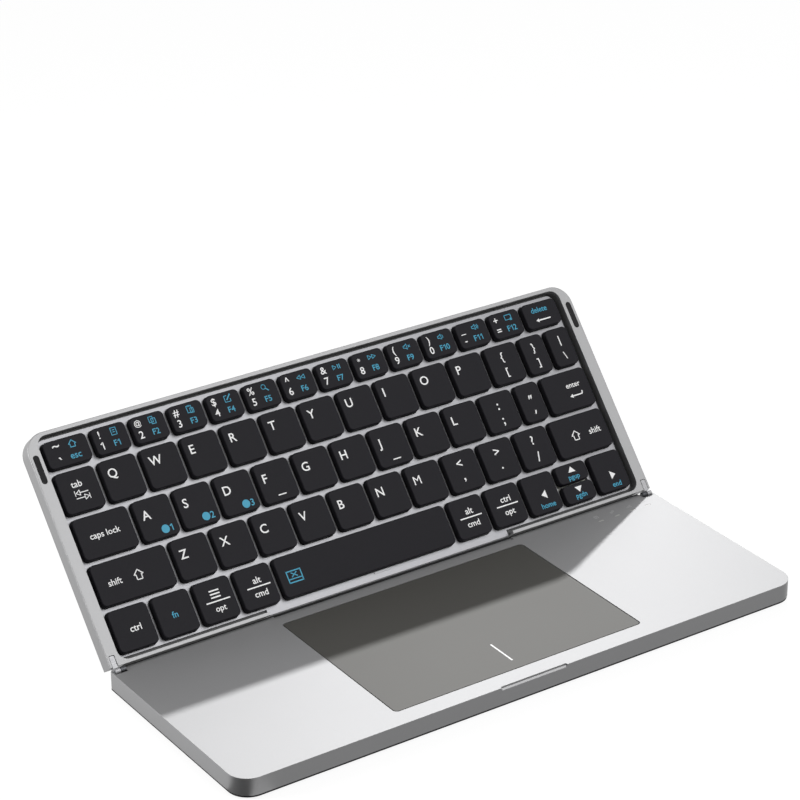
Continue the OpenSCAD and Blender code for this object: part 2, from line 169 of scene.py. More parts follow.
@dataclass(frozen=True)
class Finish:
    """A finish: one real material, with the grain its making leaves, drawn from noise in object space."""

    name: str
    colour: str
    tone: str
    roughness: float
    metallic: float = 0.0
    grain_mm: float = 0.8
    grain_stretch: Point = (1.0, 1.0, 1.0)
    bump_um: float = 4.0
    patch_mm: float = 30.0
    roughness_spread: float = 0.05
    coat: float = 0.0
    coat_roughness: float = 0.1
    specular: float = 0.5

    def grain(self, tree: Tree) -> Socket:
        """Draw the fine grain of the surface.

        Args:
            tree: The material's node tree.

        Returns:
            The grain's value socket, about 0 to 1.
        """
        place = add_node(tree, "ShaderNodeTexCoord").outputs["Object"]
        spread = add_node(tree, "ShaderNodeMapping", {"Vector": place, "Scale": self.grain_stretch})
        look = {"Vector": spread.outputs["Vector"], "Scale": 1.0 / (self.grain_mm * MM), "Roughness": 0.6}
        return add_node(tree, "ShaderNodeTexNoise", {**look, "Detail": 2.0}).outputs["Fac"]

    def build(self) -> bpy.types.Material:
        """Make the material: two near tones mixed by grain and patches, uneven roughness and a fine bump.

        Returns:
            The finished material.
        """
        material = bpy.data.materials.new(self.name)
        material.use_nodes = True
        tree = material.node_tree
        grain = self.grain(tree)
        place = add_node(tree, "ShaderNodeTexCoord").outputs["Object"]
        look = {"Vector": place, "Scale": 1.0 / (self.patch_mm * MM), "Detail": 2.0}
        patch = add_node(tree, "ShaderNodeTexNoise", look)
        blend = add_node(tree, "ShaderNodeMath", {0: grain, 1: patch.outputs["Fac"]}, operation="MULTIPLY")
        tones = {"Factor": blend.outputs[0], "A": linear(self.colour), "B": linear(self.tone)}
        tone = add_node(tree, "ShaderNodeMix", tones, data_type="RGBA")
        low, high = self.roughness - self.roughness_spread, self.roughness + self.roughness_spread
        spread = {"Value": grain, "From Min": 0.3, "From Max": 0.7, "To Min": low, "To Max": high}
        rough = add_node(tree, "ShaderNodeMapRange", spread)
        relief = {"Height": grain, "Strength": 1.0, "Distance": self.bump_um * 1e-6}
        bump = add_node(tree, "ShaderNodeBump", relief)
        surface = {
            "Base Color": tone.outputs["Result"],
            "Roughness": rough.outputs["Result"],
            "Normal": bump.outputs["Normal"],
            "Metallic": self.metallic,
            "Specular IOR Level": self.specular,
            "Coat Weight": self.coat,
            "Coat Roughness": self.coat_roughness,
        }
        fill(tree, tree.nodes["Principled BSDF"], surface)
        return material


@dataclass(frozen=True)
class Laminate(Finish):
    """A thin laminate with copper or silver tracks, which show through as paler straight runs."""

    track_mm: float = 1.2

    def grain(self, tree: Tree) -> Socket:
        """Draw the tracks as the joints of a brick pattern instead of grain.

        Args:
            tree: The material's node tree.

        Returns:
            The tracks' value socket, 0 between tracks and 1 on them.
        """
        place = add_node(tree, "ShaderNodeTexCoord").outputs["Object"]
        joints = {"Vector": place, "Scale": 1.0 / (self.track_mm * 4.0 * MM), "Mortar Size": 0.05}
        return add_node(tree, "ShaderNodeTexBrick", joints).outputs["Fac"]


class Finishes(Enum):
    """Every finish of the keyboard, by what it is and how it was made."""

    # Anodised aluminium, bead blasted: a silver that spreads highlights into soft pools.
    # The blast pits are about 0.05 mm, drawn at 0.3 mm so that they show in the render.
    SHELL = Finish(
        "Anodised_aluminium_blasted", "#929293", "#8d8d8e", 0.5, 0.8, 0.3,
        bump_um=0.5, patch_mm=45.0, roughness_spread=0.015,
    )
    # Anodised aluminium sheet, satin: the key plate, seen only as a net between the black keys.
    PLATE = Finish(
        "Anodised_aluminium_sheet", "#8d8d90", "#868689", 0.43, 0.75, 0.4, bump_um=0.6, roughness_spread=0.02
    )
    # Etched touch glass over a metallic grey paint: dull and even, with a soft sheen.
    PAD = Finish(
        "Etched_glass_grey", "#474643", "#43423f", 0.46, 0.2, 0.3,
        bump_um=0.4, roughness_spread=0.01, specular=0.23,
    )
    # ABS key caps, moulded with a fine spark texture: near black and matt.
    KEY = Finish("ABS_moulded_black", "#19181d", "#16151a", 0.55, 0.0, 0.35, bump_um=2.0, specular=0.13)
    # Pad-printed inks: flat, with slightly starved patches.
    INK_WHITE = Finish("Ink_printed_white", "#fdfdfd", "#f6f6f6", 0.5, 0.0, 0.5, bump_um=0.3)
    INK_BLUE = Finish("Ink_printed_blue", "#2fa4c6", "#2893b3", 0.5, 0.0, 0.5, bump_um=0.3)
    # Polycarbonate spacer, moulded black: the dark floor of the gap round the key plate.
    SPACER = Finish("Polycarbonate_moulded_black", "#232324", "#1e1e1f", 0.5, 0.0, 0.5, bump_um=3.0)
    # Silicone rubber, moulded: black and without a highlight. It also dresses the hinge strips, hinge seal
    # and seam ring, which are painted shade.
    RUBBER = Finish("Silicone_rubber_black", "#1b1b1c", "#222223", 0.8, 0.0, 0.6, bump_um=8.0, specular=0.3)
    # Stainless steel, ground: fine lines along the hinge arms, and sharper ones on pins and bars.
    ARM = Finish("Stainless_steel_ground", "#959597", "#88888a", 0.46, 0.8, 0.3, (0.15, 1.0, 1.0), 1.0)
    STEEL = Finish("Steel_ground", "#a9abad", "#97999c", 0.35, 1.0, 0.3, (0.15, 1.0, 1.0), 3.0)
    # Rolled stainless sheet: long faint rolling lines.
    SHEET = Finish("Stainless_sheet_rolled", "#b4b6b8", "#a6a8ab", 0.33, 1.0, 0.4, (0.05, 1.0, 1.0), 2.0)
    # Steel screws, black oxide: dark with paler worn spots.
    SCREW = Finish("Steel_black_oxide", "#3c3d40", "#6a6b6e", 0.4, 1.0, 0.5, bump_um=4.0)
    # Polyacetal links, moulded milky white: a soft waxy sheen.
    LINK = Finish("Polyacetal_moulded", "#dcdcd6", "#d2d2cb", 0.45, 0.0, 0.5, bump_um=2.0)
    # Silicone dome sheet: a pale grey-white without shine.
    DOME = Finish("Silicone_sheet", "#c4c4bd", "#b9b9b1", 0.5, 0.0, 0.8, bump_um=4.0)
    # Polyester film with printed silver tracks: pale green-grey with darker runs.
    FILM = Laminate("Polyester_film_printed", "#b9beb9", "#8f9692", 0.35, 0.0, bump_um=3.0, track_mm=2.0)
    # Circuit board, solder mask over copper: deep green with a lacquer shine.
    BOARD = Laminate("Circuit_board_solder_mask", "#14532f", "#1f7a45", 0.35, 0.0, bump_um=12.0, coat=0.4)
    # Battery pouch, laminated aluminium foil: shallow dimples pressed by the cell.
    POUCH = Finish("Laminated_foil_pouch", "#b9bcc0", "#a7abb0", 0.38, 0.7, 3.0, bump_um=40.0)
    # Polyimide ribbon: amber film, glossy.
    RIBBON = Finish("Polyimide_film", "#8a4f17", "#7a430f", 0.25, 0.0, 1.0, bump_um=2.0, coat=0.5)
    # Neodymium magnets, nickel plated: warm and nearly a mirror.
    MAGNET = Finish("Nickel_plated_magnet", "#b8b6b0", "#a9a7a1", 0.2, 1.0, 0.8, bump_um=2.0)
    # Acrylic light guides, frosted ends: milky grey, unlit.
    GUIDE = Finish("Acrylic_frosted", "#a4a4a2", "#999997", 0.35, 0.0, 0.6, bump_um=2.0, coat=0.3)
    # Laser-marked signs: the anodised skin bleached to a paler grey.
    ETCH = Finish("Anodised_aluminium_laser_marked", "#a8a8a9", "#9e9e9f", 0.55, 0.5, 0.3, bump_um=0.5)


class Wardrobe:
    """Makes each finish's material once and puts it on pieces."""

    def __init__(self) -> None:
        """Start with no material made."""
        self.made: dict[Finishes, bpy.types.Material] = {}

    def get(self, finish: Finishes) -> bpy.types.Material:
        """Give a finish's material, making it on first use.

        Args:
            finish: The finish wanted.

        Returns:
            The material.
        """
        if finish not in self.made:
            self.made[finish] = finish.value.build()
        return self.made[finish]

    def dress(self, piece: Piece, finish: Finishes) -> None:
        """Give a piece one finish all over."""
        piece.data.materials.clear()
        piece.data.materials.append(self.get(finish))


# ---------------------------------------------------------------- modelling by operator


def pick(*pieces: Piece) -> None:
    """Select these objects only, the first one active, because an operator acts on all that is selected.

    Args:
        *pieces: The objects, or none to deselect all.
    """
    for item in bpy.context.view_layer.objects:
        item.select_set(item in pieces)
    if pieces:
        bpy.context.view_layer.objects.active = pieces[0]


def block(name: str, low: Point, high: Point) -> Piece:
    """Add a cube between two corners.

    Args:
        name: The object's name.
        low: Its lowest corner.
        high: Its highest corner.

    Returns:
        The block, with its place in its mesh.
    """
    pick()
    middle = [(a + b) / 2.0 for a, b in zip(low, high)]
    bpy.ops.mesh.primitive_cube_add(size=1.0, location=middle)
    piece = bpy.context.active_object
    piece.name = name
    piece.scale = [b - a for a, b in zip(low, high)]
    bpy.ops.object.transform_apply()
    return piece


def rod(name: str, start: Point, end: Point, radius: float, sides: int = 32) -> Piece:
    """Add a cylinder between two points.

    Args:
        name: The object's name.
        start: The middle of one end.
        end: The middle of the other end.
        radius: Its radius.
        sides: Number of sides.

    Returns:
        The cylinder, with its place in its mesh.
    """
    pick()
    a, b = Vector(start), Vector(end)
    middle = (a + b) / 2.0
    bpy.ops.mesh.primitive_cylinder_add(vertices=sides, radius=radius, depth=(b - a).length, location=middle)
    piece = bpy.context.active_object
    piece.name = name
    piece.rotation_mode = "QUATERNION"
    piece.rotation_quaternion = (b - a).to_track_quat("Z", "Y")
    bpy.ops.object.transform_apply()
    return piece


def pins(points: Iterable[Plan], low: float, high: float, radius: float, sides: int) -> list[Piece]:
    """Add an upright cylinder at every point, from one height to another."""
    return [rod("pin", (x, y, low), (x, y, high), radius, sides) for x, y in points]


def sunk_holes(points: Iterable[Plan], face: float, sink: float, hole_r: float, sink_r: float) -> list[Piece]:
    """Add the cutters of screw holes with flat sinks, drilled up from a lower face.

    Args:
        points: Where the screws are.
        face: The lower face's height.
        sink: The sinks' depth.
        hole_r: The holes' radius.
        sink_r: The sinks' radius.

    Returns:
        Two cutters for each screw.
    """
    tools = []
    for place in points:
        tools += pins([place], face - 1, face + 2, hole_r, 16)
        tools += pins([place], face - 1, face + sink, sink_r, 24)
    return tools


def both_ends(points: Iterable[Plan]) -> list[Plan]:
    """Give each point at the left end and at the right end."""
    return [(side * x, y) for x, y in points for side in (-1, 1)]


def across(half: float, near: float, far: float, low: float, high: float) -> tuple[Point, Point]:
    """Give the corners of a block that reaches as far to the left of the middle as to the right."""
    return (-half, near, low), (half, far, high)


def select_parts(piece: Piece, kind: str, test: Callable[..., bool]) -> None:
    """Enter edit mode with only those edges or faces selected that pass a test.

    Args:
        piece: The mesh object.
        kind: "EDGE" or "FACE".
        test: Says of an edge's two ends, or of a face's normal, whether it is selected.
    """
    pick(piece)
    bpy.ops.object.mode_set(mode="EDIT")
    bpy.ops.mesh.select_mode(type=kind)
    bpy.ops.mesh.select_all(action="DESELECT")
    bpy.ops.object.mode_set(mode="OBJECT")
    mesh = piece.data
    facts = [(face, [face.normal]) for face in mesh.polygons]
    if kind == "EDGE":
        facts = [(edge, [mesh.vertices[i].co for i in edge.vertices]) for edge in mesh.edges]
    chosen = [part for part, values in facts if test(*values)]
    if not chosen:
        raise ValueError(f"{piece.name}: nothing passes the test")
    for part in chosen:
        part.select = True
    bpy.ops.object.mode_set(mode="EDIT")


def bevel_edges(piece: Piece, test: EdgeTest, width: float, segments: int = 3) -> Piece:
    """Bevel the edges that pass a test.

    Args:
        piece: The mesh object.
        test: Says of an edge's two ends whether the edge is bevelled.
        width: The bevel's width.
        segments: The bevel's segments.

    Returns:
        The same object.
    """
    select_parts(piece, "EDGE", test)
    bpy.ops.mesh.bevel(offset=width, segments=segments, affect="EDGES", clamp_overlap=True)
    bpy.ops.object.mode_set(mode="OBJECT")
    return piece


def everywhere(place: Vector) -> bool:
    """Pass every place."""
    return True


def along(axis: int, at: PlaceTest = everywhere) -> EdgeTest:
    """Give the test for edges that run along one axis and whose first end passes another test."""
    same = [i for i in AXES if i != axis]
    return lambda a, b: abs(a[axis] - b[axis]) > NEAR and all(abs(a[i] - b[i]) < NEAR for i in same) and at(a)


def level(height: float, at: PlaceTest = everywhere, axis: int = 2) -> EdgeTest:
    """Give the test for edges that lie at one height, or place on an axis, and whose ends pass a test."""
    return lambda a, b: all(abs(v[axis] - height) < NEAR and at(v) for v in (a, b))


def rounded(
    name: str, low: Point, high: Point, radius: float, steps: int = 6, at: PlaceTest = everywhere
) -> Piece:
    """Add a block whose upright edges are rounded, with this many steps, where a test passes."""
    return bevel_edges(block(name, low, high), along(2, at), radius, steps)


def foot(low: Point, high: Point, radius: float, steps: int, edge: float) -> Piece:
    """Add a rubber strip with rounded corners, its lower face softened by the edge's width."""
    return bevel_edges(rounded("foot", low, high, radius, steps), level(low[2]), edge, 2)


def cut(piece: Piece, *tools: Piece, mode: str = "DIFFERENCE") -> Piece:
    """Cut tools out of a piece, or join them to it, and remove the tools.

    Args:
        piece: The mesh object that is cut.
        *tools: The cutters.
        mode: The boolean operation.

    Returns:
        The same object.
    """
    for tool in tools:
        pick(piece)
        step = piece.modifiers.new("cut", "BOOLEAN")
        step.operation = mode
        step.solver = "EXACT"
        step.object = tool
        bpy.ops.object.modifier_apply(modifier=step.name)
        bpy.data.objects.remove(tool)
    return piece


def joined(name: str, pieces: Sequence[Piece]) -> Piece:
    """Join separate meshes into one object.

    Args:
        name: The joined object's name.
        pieces: The objects to join.

    Returns:
        The joined object.
    """
    pick(*pieces)
    if len(pieces) > 1:
        bpy.ops.object.join()
    piece = bpy.context.active_object
    piece.name = name
    piece.data.name = name
    return piece


def mirrored(piece: Piece) -> Piece:
    """Copy a piece to the other end of the keyboard, faces outwards.

    Args:
        piece: The piece at the right end.

    Returns:
        The piece at the left end.
    """
    other = piece.copy()
    other.data = piece.data.copy()
    bpy.context.scene.collection.objects.link(other)
    pick(other)
    other.scale = (-1.0, 1.0, 1.0)
    bpy.ops.object.transform_apply(location=False, rotation=False, scale=True)
    bpy.ops.object.mode_set(mode="EDIT")
    bpy.ops.mesh.select_all(action="SELECT")
    bpy.ops.mesh.normals_make_consistent(inside=False)
    bpy.ops.object.mode_set(mode="OBJECT")
    return other


def laid(piece: Piece, space: Matrix, angle: float = 30.0) -> Piece:
    """Shade a finished piece and lay it from its work space into the shared frame.

    Args:
        piece: The finished mesh object.
        space: The work space's matrix.
        angle: Edges sharper than this many degrees stay sharp.

    Returns:
        The same object, at the origin with its place in its mesh.
    """
    pick(piece)
    bpy.ops.object.shade_smooth_by_angle(angle=math.radians(angle))
    step = piece.modifiers.new("flat_faces_stay_flat", "WEIGHTED_NORMAL")
    step.keep_sharp = True
    step.weight = 100
    bpy.ops.object.modifier_apply(modifier=step.name)
    piece.matrix_world = space
    bpy.ops.object.transform_apply()
    return piece


def fix(wardrobe: Wardrobe, piece: Piece, finish: Finishes, body: str, node: str, slot: str) -> Piece:
    """Dress a finished piece, ride it on its body and let it stand for a CAD node.

    Args:
        wardrobe: The materials.
        piece: The finished piece.
        finish: Its finish.
        body: The body that carries it.
        node: The CAD node it stands for, or "" for none.
        slot: The record's material slot, or "" for none; not used.

    Returns:
        The same piece.
    """
    wardrobe.dress(piece, finish)
    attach(piece, body)
    if node:
        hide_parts(node)
    log.info("%s: %d faces on %s", piece.name, len(piece.data.polygons), body)
    return piece


@dataclass
class Half:
    """What both halves share: a slab's outline with two rounded corners, and the fixing of the pieces."""

    wardrobe: Wardrobe
    near: float = 0.0
    far: float = AXIS_Y + 1.45
    rounds_near: bool = True
    half_width: float = 125.0
    corner: float = 8.25

    def slab(self, name: str, inset: float, low: float, high: float, steps: int = 14) -> Piece:
        """Add a block with the half's outline, drawn in by an inset.

        Args:
            name: The object's name.
            inset: How far it stays inside the half's outline.
            low: Its bottom.
            high: Its top.
            steps: Segments in each rounded corner.

        Returns:
            The slab, its two outer corners rounded.
        """
        middle = (self.near + self.far) / 2.0
        corners = across(self.half_width - inset, self.near + inset, self.far - inset, low, high)
        outer = lambda v: (v.y < middle) == self.rounds_near
        return rounded(name, *corners, self.corner - inset, steps, outer)

    def fit(self, space: Matrix, jobs: Iterable[tuple]) -> list[Piece]:
        """Model, lay, dress and fix pieces, each given as its maker and what fix asks for."""
        return [fix(self.wardrobe, laid(make(), space), *job) for make, *job in jobs]


# ---------------------------------------------------------------- palm rest


@dataclass
class PalmRest(Half):
    """The half that lies on the desk: shell, bottom cover, touchpad, feet and all inside it."""

    thickness: float = PALM_THICK
    cover: float = 0.85
    skin: float = 1.2
    wall: float = 1.6
    pad_half: float = 55.3
    pad_near: float = 8.3
    pad_far: float = 83.5
    pad_gap: float = 0.3
    pad_top: float = -0.05
    edge: float = 0.45
    rear_edge: float = 0.6
    fine_edge: float = 0.12
    notch_half: float = 14.8
    notch_depth: float = 0.55
    relief_half: float = 55.2
    relief_near: float = 87.95
    relief_depth: float = 0.45
    port_y: Plan = (63.9, 73.1)
    port_z: Plan = (-5.73, -2.27)
    port_corner: float = 1.7
    slot_x: float = 121.8
    slot_half: float = 2.5
    slot_low: float = -2.9
    seal_half: float = 118.7
    seal_top: float = 0.34
    foot_half: float = 105.0
    foot_width: float = 5.0
    status_y: float = 46.9
    status_z: float = -4.0
    indicator_y: float = 80.9
    indicators: tuple[float, ...] = (93.0, 101.0, 109.0, 116.7)
    screws: tuple[Plan, ...] = ((59.9, 5.2), (59.9, 46.0), (59.9, 85.4), (120.8, 14.0), (120.8, 78.0))

    @property
    def seam(self) -> float:
        """Give the height of the shell's foot, where the bottom cover begins."""
        return self.cover - self.thickness

    def shell(self) -> Piece:
        """Model the top shell with its walls, openings, windows, notch and hinge slots.

        Returns:
            The shell.
        """
        w, d, bottom = self.half_width, self.far, self.seam
        rear = d - 0.7
        piece = self.slab("palm_shell_body", 0.0, bottom, 0.0)
        bevel_edges(piece, along(2, lambda v: v.y > rear), self.rear_edge, 3)
        bevel_edges(piece, lambda a, b: level(0.0)(a, b) and min(a.y, b.y) < rear, self.edge, 4)
        bevel_edges(piece, level(0.0, lambda v: v.y > rear), self.fine_edge, 2)
        cut(piece, self.slab("cavity", self.wall, bottom - 1, -self.skin, 10))
        screws = both_ends(self.screws)
        posts = pins(screws, bottom, 0.3 - self.skin, 1.9, 24)
        cut(piece, joined("posts", posts), mode="UNION")
        gap, hole = self.pad_gap, (self.status_y, self.status_z)
        pad = across(self.pad_half + gap, self.pad_near - gap, self.pad_far + gap, -3, 1)
        notch = across(self.notch_half, -1, 0.9, -self.notch_depth, 1)
        relief = across(self.relief_half, self.relief_near, d + 1, -self.relief_depth, 1)
        port = block("port", *zip((w - 3, w + 1), self.port_y, self.port_z))
        tools = [
            rounded("pad_opening", *pad, 1.8),
            rounded("finger_notch", *notch, 0.35, 3, lambda v: v.y > 0.5),
            self.notch_lip(),
            rounded("tongue_relief", *relief, 0.6, 4, lambda v: v.y < self.relief_near + 1),
            rod("status_hole", (w - 3, *hole), (w + 1, *hole), 0.8, 24),
            bevel_edges(port, along(0), self.port_corner, 8),
        ]
        for x in self.indicators:
            low, high = (x - 1.35, self.indicator_y - 0.5, -3), (x + 1.35, self.indicator_y + 0.5, 1)
            tools.append(rounded("window", low, high, 0.45, 4))
        for x in (-self.slot_x, self.slot_x):
            low, high = (x - self.slot_half, AXIS_Y - 1.73, self.slot_low), (x + self.slot_half, d + 1, 3)
            tools.append(block("hinge_slot", low, high))
        tools += pins(screws, bottom - 1, bottom + 3.4, 0.8, 16)
        tools.append(block("ribbon_exit", (64, d - 3, -5.1), (78, d + 1, -4.3)))
        cut(piece, *tools)
        inside = lambda v: abs(v.x) < self.pad_half + 1 and 5 < v.y < 86
        return bevel_edges(piece, level(0.0, inside), self.fine_edge, 2)

    def notch_lip(self) -> Piece:
        """Shape the cutter that slopes the finger notch's front lip, so that it catches the light.

        Returns:
            The cutter, a block with its lower far edge pulled up.
        """
        bottom, rise = -2.1, 1.55
        piece = block("notch_lip", *across(14.45, -1.0, 0.55, bottom, -0.5))
        select_parts(piece, "EDGE", level(bottom, lambda v: v.y > 0.5))
        bpy.ops.transform.translate(value=(0.0, 0.0, rise))
        bpy.ops.object.mode_set(mode="OBJECT")
        return piece

    def hinge_shade_seal(self) -> Piece:
        """Model the thin rubber seal along the palm rest's rear edge, which closes the gap at the hinge:
        painted shade, a black strip standing in for the shade in the hinge gap.
        """
        seal = block("hinge_gap_painted_shade_seal", *across(self.seal_half, self.far, self.far + 0.2, -2.5, self.seal_top))
        return bevel_edges(seal, level(self.seal_top), 0.07, 2)

    def shade_ring(self) -> Piece:
        """Model the dark rubber ring that fills the seam between the shell's foot and the bottom cover:
        painted shade, a black band standing in for the contact shadow along the lower edge.

        Returns:
            The ring.
        """
        low, high = 0.12 - self.thickness, self.seam
        ring = self.slab("bottom_seam_painted_shade_ring", 0.14, low, high)
        return cut(ring, self.slab("inner", 0.33, low - 1, high + 1))

    def signs(self) -> Piece:
        """Model the four tiny signs beside the indicators: arrow, square pair, ring of bars and battery.

        Returns:
            All signs as one object, a skin on the shell.
        """
        y, t = self.indicator_y + 3.4, 0.28

        def line(x0: float, y0: float, x1: float, y1: float) -> Piece:
            """Add one thin straight line of a sign."""
            return block("line", (x0, y + y0, -0.01), (x1, y + y1, 0.012))

        def frame_of(x: float, low: float, wide: float, high: float) -> list[Piece]:
            """Add the four lines of a rectangle."""
            inner = low + t, high - t
            return [
                line(x, low, x + wide, inner[0]), line(x, inner[1], x + wide, high),
                line(x, inner[0], x + t, inner[1]), line(x + wide - t, inner[0], x + wide, inner[1]),
            ]

        a, b, c, e = self.indicators
        lines = frame_of(a - 0.9, -0.9, 1.8, 0.9) + [line(a - t / 2, -0.5, a + t / 2, 0.5)]
        lines += frame_of(b - 1.1, -0.9, 1.0, 0.1) + frame_of(b + 0.1, -0.1, 1.0, 0.9)
        for i in range(4):
            bar = c - 0.9 + 0.66 * i
            lines.append(line(bar, -0.9, bar + t, -0.3 + 0.4 * i))
        lines += frame_of(e - 1.2, -0.6, 2.1, 0.6) + [line(e + 0.9, -0.25, e + 1.15, 0.25)]
        return joined("indicator_signs", lines)

    def bottom_cover(self) -> Piece:
        """Model the bottom cover, softened round its lower edge.

        Returns:
            The cover.
        """
        piece = self.slab("bottom_cover_plate", 0.3, -self.thickness, self.seam)
        bevel_edges(piece, level(-self.thickness), 0.5, 4)
        return cut(piece, *sunk_holes(both_ends(self.screws), -self.thickness, 0.45, 0.9, 1.5))

    def touchpad(self) -> Piece:
        """Model the touchpad glass with a fine softened edge."""
        corners = across(self.pad_half, self.pad_near, self.pad_far, self.pad_top - 1.0, self.pad_top)
        return bevel_edges(rounded("touchpad_pane", *corners, 1.5), level(self.pad_top), 0.15, 2)

    def mark(self) -> Piece:
        """Model the printed line that divides the touchpad's left and right click zones."""
        return rounded("touchpad_click_mark", *across(0.33, 13.7, 27.4, -0.055, -0.035), 0.2, 3)

    def feet(self) -> Piece:
        """Model the two rubber strips under the palm rest.

        Returns:
            Both strips as one object.
        """
        low, high = -self.thickness - FOOT, -self.thickness
        places = [across(self.foot_half, y, y + self.foot_width, low, high) for y in (3.6, 81.4)]
        return joined("palm_foot_strips", [foot(*corners, 2.0, 6, 0.2) for corners in places])

    def guides(self) -> Piece:
        """Model the milky light guides that end in the indicator windows and the status hole.

        Returns:
            All guides as one object.
        """
        y, top = self.indicator_y, -0.02
        parts = []
        for x in self.indicators:
            guide = rounded("guide", (x - 1.3, y - 0.45, -5.1), (x + 1.3, y + 0.45, top), 0.4, 4)
            parts.append(bevel_edges(guide, level(top), 0.08, 2))
        hole, end = (self.status_y, self.status_z), self.half_width - 0.1
        guide = rod("status_guide", (121.5, *hole), (end, *hole), 0.75, 24)
        parts.append(bevel_edges(guide, level(end, axis=0), 0.15, 2))
        return joined("indicator_light_guides", parts)

    def build(self) -> list[Piece]:
        """Model, dress and fix every piece of the palm rest that the CAD solids don't show as they are.

        Returns:
            The new pieces.
        """
        body = "palm_rest"
        jobs = (
            (self.shell, Finishes.SHELL, body, "palm_shell", "shell_aluminium"),
            (self.bottom_cover, Finishes.SHELL, body, "bottom_cover", "shell_aluminium"),
            (self.touchpad, Finishes.PAD, "touchpad", "touchpad_glass", "touchpad_glass"),
            (self.mark, Finishes.INK_WHITE, "touchpad", "", ""),
            (self.feet, Finishes.RUBBER, body, "palm_feet", "black_rubber"),
            (self.guides, Finishes.GUIDE, body, "light_guides", "clear_guide"),
            # The hinge gap seal is painted shade: black rubber standing in for the shade in the hinge gap.
            (self.hinge_shade_seal, Finishes.RUBBER, body, "", "black_rubber"),
            # The seam ring is painted shade: black rubber standing in for the contact shadow along the lower
            # edge.
            (self.shade_ring, Finishes.RUBBER, body, "", "black_rubber"),
            (self.signs, Finishes.ETCH, body, "", ""),
        )
        return self.fit(PALM_SPACE, jobs)


# ---------------------------------------------------------------- keyboard half


@dataclass
class KeyGrid:
    """Where every key lies in keyboard space. Row 0 is nearest the hinge."""

    left: float = -118.55
    span: float = 238.0
    near: float = 5.38
    pitch: float = 18.2
    gap: float = 2.25
    depth: float = 16.25
    short_depth: float = 10.75
    letter: float = 17.6
    number: float = 16.575
    split_gap: float = 0.8

    def widths(self, row: int) -> list[float]:
        """List the pitch of every key of a row.

        Args:
            row: The row's number.

        Returns:
            The pitches from left to right.
        """
        a = self.letter
        starts = (
            [18.45, a, a, a, 80.45, a, a, 17.2, 16.85],
            [33.8] + [a] * 10,
            [25.1] + [a] * 10 + [13.15],
            [18.45] + [a] * 10 + [17.35, 13.3],
            [20.25] + [self.number] * 12,
        )[row]
        return starts + [self.span - sum(starts)]

    def key(self, place: Place) -> tuple[float, float, float, float]:
        """Give a key's top rectangle.

        Args:
            place: The key's place, ending in 1 for the split key's near half and 2 for its far half.

        Returns:
            Left, right, near and far edge.
        """
        row, index, half_number = place
        pitches = self.widths(row)
        x0 = self.left + sum(pitches[:index])
        y0 = self.near + row * self.pitch
        depth = self.short_depth if row == 4 else self.depth
        half = (depth - self.split_gap) / 2.0
        near, far = ((0.0, depth), (0.0, half), (depth - half, depth))[half_number]
        return x0, x0 + pitches[index] - self.gap, y0 + near, y0 + far

    def all(self) -> Iterable[Place]:
        """Give the place of every whole key."""
        return ((row, i, 0) for row in range(5) for i in range(len(self.widths(row))))


